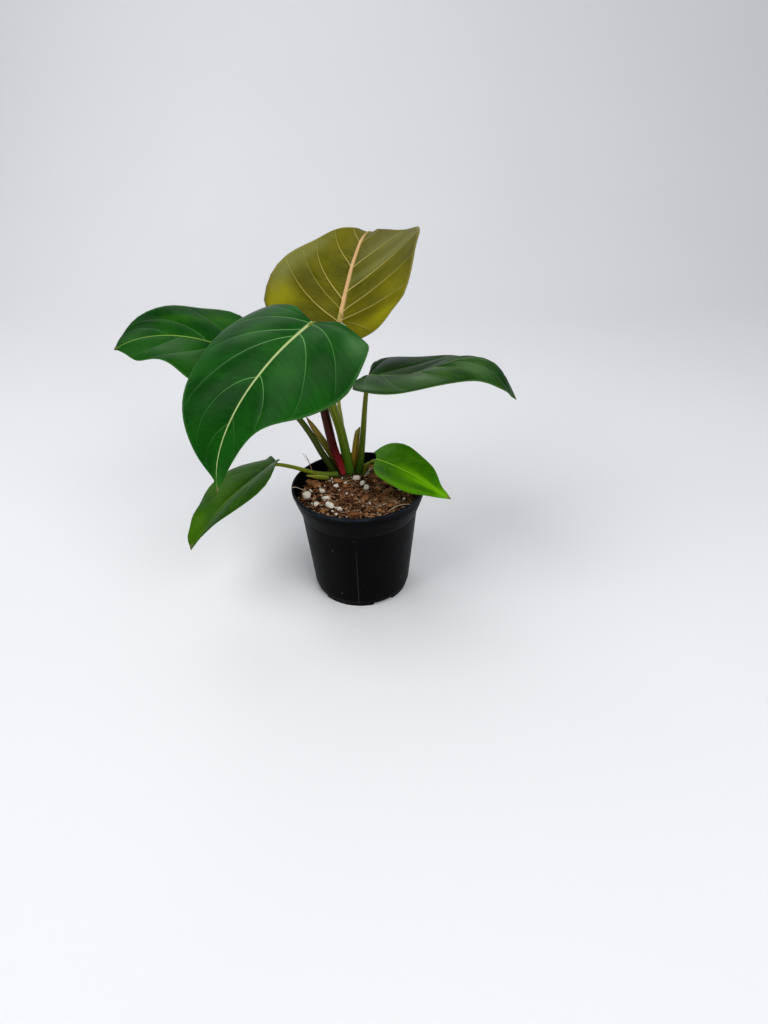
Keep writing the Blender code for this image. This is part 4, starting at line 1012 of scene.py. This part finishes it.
def rough_lump(size, rng, rough, square, subdivisions):
    """Points and faces of a rough pebble; square above 1 gives it flatter faces."""
    shape = bmesh.new()
    bmesh.ops.create_icosphere(shape, subdivisions=subdivisions, radius=1.0)
    points = np.array([v.co for v in shape.verts])
    faces = [tuple(v.index for v in face.verts) for face in shape.faces]
    shape.free()
    points = np.sign(points) * np.abs(points) ** (1.0 / square)
    for height, waves in ((rough, 3.0), (0.35 * rough, 9.0)):
        for direction in rng.normal(size=(6, 3)):
            direction /= np.linalg.norm(direction)
            points *= (1.0 + height * np.sin(waves * points @ direction + rng.uniform(0, 6)))[:, None]
    points /= np.abs(points).max(axis=0)
    return points * np.array(size) / 2, faces


def turned(points, *angles):
    """The points turned about Y, X and Z by angles given in the order Z, X, Y."""
    turn = Matrix.Identity(3)
    for angle, axis in zip(angles, "ZXY"):
        turn = turn @ Matrix.Rotation(angle, 3, axis)
    return points @ np.array(turn).T


def build_named_lumps(prefix, pieces, slot, material, rough, square):
    """The larger grains or chips, one piece each, where the CAD has them."""
    for number, ((x, y), size, turn) in enumerate(pieces, start=1):
        name = f"{prefix}_{number}"
        rng = np.random.default_rng(100 + number)
        points, faces = rough_lump(size, rng, rough, square, 4)
        low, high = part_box(name)
        points = turned(points, np.radians(turn)) + (x, y, (low.z + high.z) / 2 / MM)
        tint = tinted(points, rng.uniform(0.25, 0.9))
        place(add_mesh(name, points, faces, [material], marks=tint), slot, name)


def scatter_spot(rng, reach):
    radius = MIX_RADIUS * reach * np.sqrt(rng.uniform())
    angle = rng.uniform(0, 2 * np.pi)
    return radius * np.cos(angle), radius * np.sin(angle)


def dropped_lump(rng, spot, size, shape, tilt, lean, sink, lift):
    """A lump lying at a random turn on the mix. shape is its roughness, squareness and fineness."""
    points, faces = rough_lump(size, rng, *shape)
    points = turned(points, rng.uniform(0, 6.3), rng.uniform(-tilt, tilt), rng.uniform(-lean, lean))
    points = points + (*spot, mix_height(*spot) + sink + rng.uniform(*lift))
    return points, faces, tinted(points, rng.uniform(0.0, 1.0))


def add_merged(name, parts, material, slot):
    shape, faces, marks = merge(parts)
    place(add_mesh(name, shape, faces, [material], marks=marks), slot)


def build_mix_ground(rng):
    """The ground between the bits, down the pot's wall and across its floor."""
    rings, steps = 60, 180
    circle = [(np.cos(turn), np.sin(turn)) for turn in 2 * np.pi * np.arange(steps) / steps]
    verts = [(0.0, 0.0, float(mix_height(0.0, 0.0)))]
    waves = rng.normal(size=(14, 2)) * 0.9
    phase = rng.uniform(0, 6, 14)
    for ring in range(1, rings + 1):
        for across, deep in circle:
            radius = MIX_RADIUS * ring / rings
            x, y = radius * across, radius * deep
            detail = np.sin(waves @ (x, y) + phase).sum() * 0.12
            edge = 1.5 * max(0.0, (ring / rings - 0.96) / 0.04)
            verts.append((x, y, float(mix_height(x, y)) - 0.3 + detail - edge))
    for radius, level in (
        (COLLAR_FOOT_RADIUS, COLLAR_MIDDLE),
        (BODY_TOP_RADIUS, COLLAR_FOOT),
        (BODY_FOOT_RADIUS, FLOOR_TOP + 0.3),
    ):
        inside = radius - WALL - 0.3
        verts += [(inside * across, inside * deep, level) for across, deep in circle]
    faces = [(0, 1 + step, 1 + (step + 1) % steps) for step in range(steps)]
    faces += [(a, d, c, b) for a, b, c, d in ring_quads(rings + 3, steps, 1)]
    faces.append(tuple(range(len(verts) - 1, len(verts) - steps - 1, -1)))
    soil = soil_material(
        "soil_ground", 0.95, (0.2, (0.006, 0.003, 0.002)), (0.55, (0.020, 0.010, 0.006)),
        (0.9, (0.070, 0.036, 0.018)),
    )
    ground = add_mesh("potting_mix", verts, faces, [soil], marks=tinted(verts, 0.5))
    face_outwards(ground)
    place(ground, "potting_mix", "potting_mix")


def coir_fibre(rng, x, y):
    """A thin fibre wandering over the mix from one spot, or None where it would be too short."""
    heading = rng.uniform(0, 6.3)
    length = rng.uniform(6.0, 22.0)
    bend = rng.normal(0.0, 2.4)
    path, spot = [], np.array([x, y])
    for step in range(6):
        if np.hypot(*spot) > MIX_RADIUS - 1.0:
            break
        hump = 2.2 * np.sin(np.pi * step / 5) * rng.uniform(0.2, 1.0)
        path.append((spot[0], spot[1], mix_height(*spot) + 0.9 + hump))
        spot = spot + length / 5 * np.array([np.cos(heading), np.sin(heading)])
        heading += bend / 5 + rng.normal(0.0, 0.25)
    if len(path) < 3:
        return None
    radius = rng.uniform(0.12, 0.30)
    points, faces, _ = tube(path, [radius] * len(path), sides=5, rings=10)
    return points, faces, tinted(points, rng.uniform(0.0, 1.0))


def build_potting_mix(bark, perlite, coir):
    rng = np.random.default_rng(7)
    build_mix_ground(rng)
    crumb = soil_material(
        "soil_crumbs", 0.9, (0.15, (0.010, 0.005, 0.003)), (0.45, (0.070, 0.030, 0.013)),
        (0.70, (0.26, 0.115, 0.050)), (1.0, (0.60, 0.40, 0.24)),
    )
    parts = []
    for _ in range(1500):
        spot = scatter_spot(rng, 0.98)
        size = rng.uniform(1.4, 4.2) * rng.uniform(0.5, 1.0, 3) * (1.4, 1.0, 0.8)
        parts.append(dropped_lump(rng, spot, size, (0.10, 1.3, 1), 0.6, 0.6, 0.0, (-0.4, 1.2)))
    add_merged("mix_crumbs", parts, crumb, "potting_mix")

    for name, count, sizes, flat, material, slot, square in (
        ("mix_bark_flakes", 130, (3.0, 8.0), 0.3, bark, "bark", 1.8),
        ("mix_perlite_bits", 85, (1.2, 3.4), 0.8, perlite, "perlite", 1.2),
    ):
        parts = []
        for _ in range(count):
            spot = scatter_spot(rng, 0.94)
            # Most of the perlite lies to the left
            if slot == "perlite" and spot[0] > 5.0 and rng.uniform() < 0.7:
                continue
            long = rng.uniform(*sizes)
            size = (long, long * rng.uniform(0.45, 0.85), long * flat)
            shape = (0.09, square, 2)
            parts.append(dropped_lump(rng, spot, size, shape, 0.5, 0.4, 0.3 * long * flat, (0.2, 1.0)))
        add_merged(name, parts, material, slot)

    # A tangle of coir fibres, thickest in front and to the right
    parts = []
    for _ in range(1100):
        x, y = scatter_spot(rng, 0.93)
        dense = np.exp(-(((x - 14.0) / 30.0) ** 2 + ((y + 12.0) / 26.0) ** 2))
        if rng.uniform() <= 0.22 + dense:
            parts.append(coir_fibre(rng, x, y))
    add_merged("mix_coir_fibres", [part for part in parts if part], coir, "root_fibre")


def build_fibres():
    """The longer roots and fibres that the CAD has as pieces of their own."""
    skin = soil_material(
        "root_skin", 0.6, (0.0, (0.16, 0.07, 0.03)), (0.5, (0.40, 0.26, 0.13)),
        (1.0, (0.72, 0.62, 0.47)), bump=0.2,
    )
    for name, (points, radius, tint) in FIBRES.items():
        radii = radius * np.interp(np.linspace(0, 1, len(points)), (0, 0.3, 1), (1.0, 1.0, 0.55))
        shape, faces, _ = tube(above_mix(points), radii, sides=10, rings=40)
        shape[:, 2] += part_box(name)[0].z / MM - shape[:, 2].min()
        place(add_mesh(name, shape, faces, [skin], marks=tinted(shape, tint)), "root_fibre", name)


def build_crown():
    """A low oval stub of old stem, ridged where leaves have dropped."""
    steps, layers = 96, 14
    verts = []
    for share in np.arange(layers + 1) / layers:
        size = 1.05 * np.sqrt(max(0.0, 1.0 - (share * 0.97) ** 2))
        for turn in 2 * np.pi * np.arange(steps) / steps:
            wave = 1.0 + 0.035 * np.sin(5 * turn + 0.6) + 0.012 * np.sin(17 * turn + 9 * share)
            x = CROWN_CENTRE[0] + CROWN_HALF_SIZE[0] * size * wave * np.cos(turn)
            y = CROWN_CENTRE[1] + CROWN_HALF_SIZE[1] * size * wave * np.sin(turn)
            verts.append((x, y, MIX_TOP + 0.2 + CROWN_HEIGHT * share))
    faces = ring_quads(layers + 1, steps)
    faces.append(tuple(reversed(range(steps))))
    faces.append(tuple(range(layers * steps, (layers + 1) * steps)))
    stem = soil_material(
        "crown_skin", 0.6, (0.2, (0.020, 0.012, 0.006)), (0.6, (0.060, 0.050, 0.016)),
        (0.95, (0.13, 0.12, 0.03)), bump=0.5,
    )
    piece = add_mesh("crown", verts, faces, [stem], marks=tinted(verts, 0.5))
    face_outwards(piece)
    place(piece, "stem", "crown")


# ---------------------------------------------------------------- pot


def rounded_profile():
    """Radius and height round the pot's section, its corners rounded, without the axis points."""
    lip_foot = POT_HEIGHT - LIP_HEIGHT
    inner_foot = FOOT_RADIUS - FOOT_WIDTH
    corners = [
        (PAD_RADIUS, 0.0, 0.3), (PAD_RADIUS + 1.0, FOOT_HEIGHT, 0.3),
        (inner_foot, FOOT_HEIGHT, 0.3), (inner_foot, 0.0, 0.3),
        (FOOT_RADIUS, 0.0, 0.5), (FOOT_RADIUS + 0.5, FOOT_HEIGHT, 0.4),
        (BODY_FOOT_RADIUS, FOOT_HEIGHT + 4.5, 1.2), (BODY_TOP_RADIUS, COLLAR_FOOT, 0.5),
        (COLLAR_FOOT_RADIUS, COLLAR_MIDDLE, 0.7), (COLLAR_TOP_RADIUS, lip_foot - 6.0, 1.0),
        (COLLAR_TOP_RADIUS + 0.8, lip_foot, 0.3), (RIM_RADIUS, lip_foot + 0.2, 0.8),
        (RIM_RADIUS, POT_HEIGHT, 1.3), (RIM_RADIUS - RIM_WIDTH, POT_HEIGHT, 1.0),
        (COLLAR_TOP_RADIUS - WALL, lip_foot - 6.0, 0.6), (COLLAR_FOOT_RADIUS - WALL, COLLAR_MIDDLE, 0.6),
        (BODY_TOP_RADIUS - WALL, COLLAR_FOOT, 0.5), (BODY_FOOT_RADIUS - WALL, FLOOR_TOP, 0.6),
    ]
    profile = [corners[0][:2]]
    for before, here, after in zip(corners, corners[1:], corners[2:]):
        corner = np.array(here[:2])
        back, on = np.array(before[:2]) - corner, np.array(after[:2]) - corner
        back_length, on_length = np.linalg.norm(back), np.linalg.norm(on)
        reach = min(here[2], 0.45 * back_length, 0.45 * on_length)
        start = corner + back / back_length * reach
        end = corner + on / on_length * reach
        for part in np.linspace(0.0, 1.0, 5):
            spot = (1 - part) ** 2 * start + 2 * part * (1 - part) * corner + part**2 * end
            profile.append(tuple(spot))
    return profile + [corners[-1][:2]]


def in_notch(angle):
    pitch = 360.0 / FOOT_NOTCHES
    away = (angle - NOTCH_FIRST + pitch / 2) % pitch - pitch / 2
    return abs(away) < NOTCH_ANGLE / 2


def pot_material():
    """Moulded black plastic: satin, with fine scratches, dust, a few pale scuffs and a painted bluish
    highlight along the lip.
    """
    paint = Paint("pot_plastic", specular=0.03)
    spot = paint.position()
    soft = paint.noise(spot, 40.0, 4.0, 0.6)
    grain = paint.noise(spot, 1600.0, 2.0)
    scratch = paint.noise(paint.stretch(spot, 1.0, 1.0, 9.0), 300.0, 3.0, 0.7)
    dust = paint.spread(paint.noise(spot, 520.0, 3.0, 0.7), 0.68, 0.76)
    dust = paint.times(dust, paint.spread(soft, 0.48, 0.62))
    scuff = paint.spread(paint.noise(spot, 190.0, 2.0, 0.4), 0.735, 0.78)
    scuff = paint.times(scuff, paint.spread(paint.noise(spot, 800.0, 2.0), 0.45, 0.6))
    lip = paint.mark("lip")
    colour = paint.mix(soft, (0.0008, 0.0009, 0.0011), (0.0018, 0.002, 0.0026))
    for share, tone in (
        (paint.times(dust, 0.05), (0.25, 0.22, 0.19)),
        (paint.times(scuff, 0.35), (0.35, 0.36, 0.38)),
        (paint.times(paint.mark("seam"), 0.5), (0.10, 0.10, 0.11)),
        # Painted highlight: a faint bluish line of light along the lip, patchy with the soft noise
        (paint.times(lip, paint.spread(soft, 0.35, 0.65, 0.15, 0.5)), (0.030, 0.045, 0.065)),
    ):
        colour = paint.mix(share, colour, tone)
    rough = paint.maths("ADD", paint.spread(soft, 0.3, 0.7, 0.38, 0.48), paint.times(dust, 0.3))
    rough = paint.maths("SUBTRACT", rough, paint.times(lip, 0.20))
    return paint.finish(colour, rough, (grain, paint.times(scratch, 0.6)), 0.10, 0.0003)


def build_pot():
    profile = rounded_profile()
    angles = list(np.arange(POT_STEPS) * 360.0 / POT_STEPS)
    for seam in SEAM_ANGLES:
        angles += [seam % 360 + step for step in (-0.5, -0.22, 0.0, 0.22, 0.5)]
    for notch in range(FOOT_NOTCHES):
        middle = NOTCH_FIRST + 360.0 / FOOT_NOTCHES * notch
        for edge in (-1, 1):
            angles += [(middle + edge * (NOTCH_ANGLE / 2 + step)) % 360 for step in (-0.3, 0.3)]
    angles = sorted(set(round(a, 3) for a in angles))
    verts, faces = [], []
    marks = {"seam": [], "lip": []}
    for angle in angles:
        turn = np.radians(angle)
        to_seam = min(abs((angle - seam + 180) % 360 - 180) for seam in SEAM_ANGLES)
        ridge = SEAM_HEIGHT * max(0.0, 1.0 - to_seam / 0.45)
        for radius, height in profile:
            on_wall = FOOT_HEIGHT < height < SEAM_TOP and radius > BODY_FOOT_RADIUS - 0.5
            marks["seam"].append(ridge / SEAM_HEIGHT if on_wall else 0.0)
            # The lip mark: where the painted bluish highlight goes, and where the plastic is glossier
            marks["lip"].append(float(height > POT_HEIGHT - 1.6 and radius > RIM_RADIUS - 1.6))
            if on_wall:
                radius += ridge
            if PAD_RADIUS + 3.0 < radius and height < FOOT_HEIGHT - 0.5 and in_notch(angle):
                height = FOOT_HEIGHT - 0.5
            verts.append((radius * np.cos(turn), radius * np.sin(turn), height))
    count = len(profile)
    under, over = len(verts), len(verts) + 1
    verts += [(0.0, 0.0, profile[0][1]), (0.0, 0.0, profile[-1][1])]
    for step in range(len(angles)):
        here, there = step * count, (step + 1) % len(angles) * count
        faces.append((under, here, there))
        faces.append((over, there + count - 1, here + count - 1))
        faces += [(here + k, here + k + 1, there + k + 1, there + k) for k in range(count - 1)]
    marks = {key: values + [0.0, 0.0] for key, values in marks.items()}
    pot = add_mesh("nursery_pot", verts, faces, [pot_material()], marks=marks)
    face_outwards(pot)
    cutter = build_drain_cutter()
    cut = pot.modifiers.new("drain_holes", "BOOLEAN")
    cut.object = cutter
    cut.operation = "DIFFERENCE"
    cut.solver = "EXACT"
    bpy.context.view_layer.update()
    drilled = bpy.data.meshes.new_from_object(pot.evaluated_get(bpy.context.evaluated_depsgraph_get()))
    pot.modifiers.clear()
    pot.data = drilled
    drilled.shade_smooth()
    drilled.set_sharp_from_angle(angle=np.radians(35.0))
    bpy.data.objects.remove(cutter, do_unlink=True)
    place(pot, "pot_plastic", "nursery_pot")


def build_drain_cutter():
    """The ring of cylinders that bores the drain holes through the floor."""
    verts, faces, sides = [], [], 32
    around = 2 * np.pi * np.arange(sides) / sides
    for turn in 2 * np.pi * (np.arange(DRAIN_HOLES) + 0.5) / DRAIN_HOLES:
        x = DRAIN_CIRCLE_RADIUS * np.cos(turn) + DRAIN_HOLE_RADIUS * np.cos(around)
        y = DRAIN_CIRCLE_RADIUS * np.sin(turn) + DRAIN_HOLE_RADIUS * np.sin(around)
        base = len(verts)
        for height in (FOOT_HEIGHT - 2.0, FLOOR_TOP + 2.0):
            verts += [(*spot, height) for spot in zip(x, y)]
        faces.append(tuple(reversed(range(base, base + sides))))
        faces.append(tuple(range(base + sides, base + 2 * sides)))
        faces += ring_quads(2, sides, base)
    return add_mesh("drain_cutter", verts, faces, [])


# ---------------------------------------------------------------- stage, light and camera


def build_stage():
    """A pale floor that curves up into a wall behind."""
    bend = np.linspace(0.0, np.pi / 2, 16)
    depth = [-3000.0, *(900 + 800 * np.sin(bend)), 1700.0]
    height = [0.0, *(800 * (1 - np.cos(bend))), 4000.0]
    verts = [(side, y, z) for y, z in zip(depth, height) for side in (-4000.0, 4000.0)]
    faces = [(k, k + 1, k + 3, k + 2) for k in range(0, len(verts) - 2, 2)]
    paint = Paint("backdrop", 0.8)
    soft = paint.noise(paint.position(), 2.0, 2.0)
    colour = paint.mix(soft, (0.74, 0.75, 0.775), (0.79, 0.80, 0.82))
    floor = add_mesh("backdrop", verts, faces, [paint.finish(colour)])


def add_area(name, location, target, size, power, colour=(1.0, 1.0, 1.0)):
    light = bpy.data.lights.new(name, "AREA")
    light.shape = "SQUARE"
    light.size = size
    light.energy = power
    light.color = colour
    lamp = bpy.data.objects.new(name, light)
    lamp.location = location
    lamp.rotation_euler = (Vector(target) - Vector(location)).to_track_quat("-Z", "Y").to_euler()
    bpy.context.scene.collection.objects.link(lamp)


def build_light():
    world = bpy.data.worlds.new("studio")
    world.use_nodes = True
    world.node_tree.nodes["Background"].inputs[0].default_value = (0.93, 0.95, 1.0, 1.0)
    world.node_tree.nodes["Background"].inputs[1].default_value = 0.40
    bpy.context.scene.world = world
    add_area("key", (-0.9, -0.5, 1.6), (0.0, 0.0, 0.15), 1.2, 18.0, (1.0, 0.985, 0.96))
    add_area("fill", (0.7, -1.1, 1.3), (0.0, 0.0, 0.12), 1.0, 14.0, (1.0, 0.99, 0.97))
    add_area("back", (-0.5, 1.2, 1.5), (0.0, 0.0, 0.2), 1.0, 6.0)


def build_camera():
    """Looks down on the plant from in front, held very slightly askew."""
    camera_data = bpy.data.cameras.new("camera")
    camera_data.sensor_width = 36.0
    camera_data.lens = LENS
    camera_data.clip_start = 0.01
    camera_data.clip_end = 20.0
    camera = bpy.data.objects.new("camera", camera_data)
    turn = Matrix.Rotation(np.radians(90.0 - CAMERA_PITCH), 4, "X")
    roll = Matrix.Rotation(np.radians(CAMERA_ROLL), 4, "Z")
    camera.matrix_world = Matrix.Translation(CAMERA_PLACE) @ turn @ roll
    bpy.context.scene.collection.objects.link(camera)
    bpy.context.scene.camera = camera


# ---------------------------------------------------------------- the plant

LEAF_SLOT = {"leaf_1": "leaf_bronze", "leaf_6": "leaf_young"}

bark = soil_material(
    "bark_bits", 0.85, (0.1, (0.060, 0.022, 0.009)), (0.4, (0.19, 0.070, 0.024)),
    (0.7, (0.38, 0.160, 0.060)), (1.0, (0.60, 0.36, 0.19)),
)
perlite = soil_material(
    "perlite_bits", 0.9, (0.15, (0.55, 0.40, 0.27)), (0.35, (0.88, 0.78, 0.65)),
    (0.7, (0.98, 0.93, 0.84)), pitting=0.25,
)
coir = soil_material(
    "coir_bits", 0.85, (0.15, (0.040, 0.014, 0.006)), (0.5, (0.20, 0.080, 0.030)),
    (0.8, (0.46, 0.24, 0.11)), (1.0, (0.74, 0.56, 0.36)), bump=0.2,
)
build_pot()
build_potting_mix(bark, perlite, coir)
build_crown()
for leaf_name, leaf in LEAVES.items():
    build_leaf(leaf_name, leaf)
build_stalks()
build_new_leaf()
build_sheaths()
build_named_lumps("perlite", PERLITE_GRAINS, "perlite", perlite, 0.07, 1.1)
build_named_lumps("bark_chip", BARK_CHIPS, "bark", bark, 0.05, 1.8)
build_fibres()
build_stage()
build_light()
build_camera()
bpy.context.scene.view_settings.view_transform = "Standard"
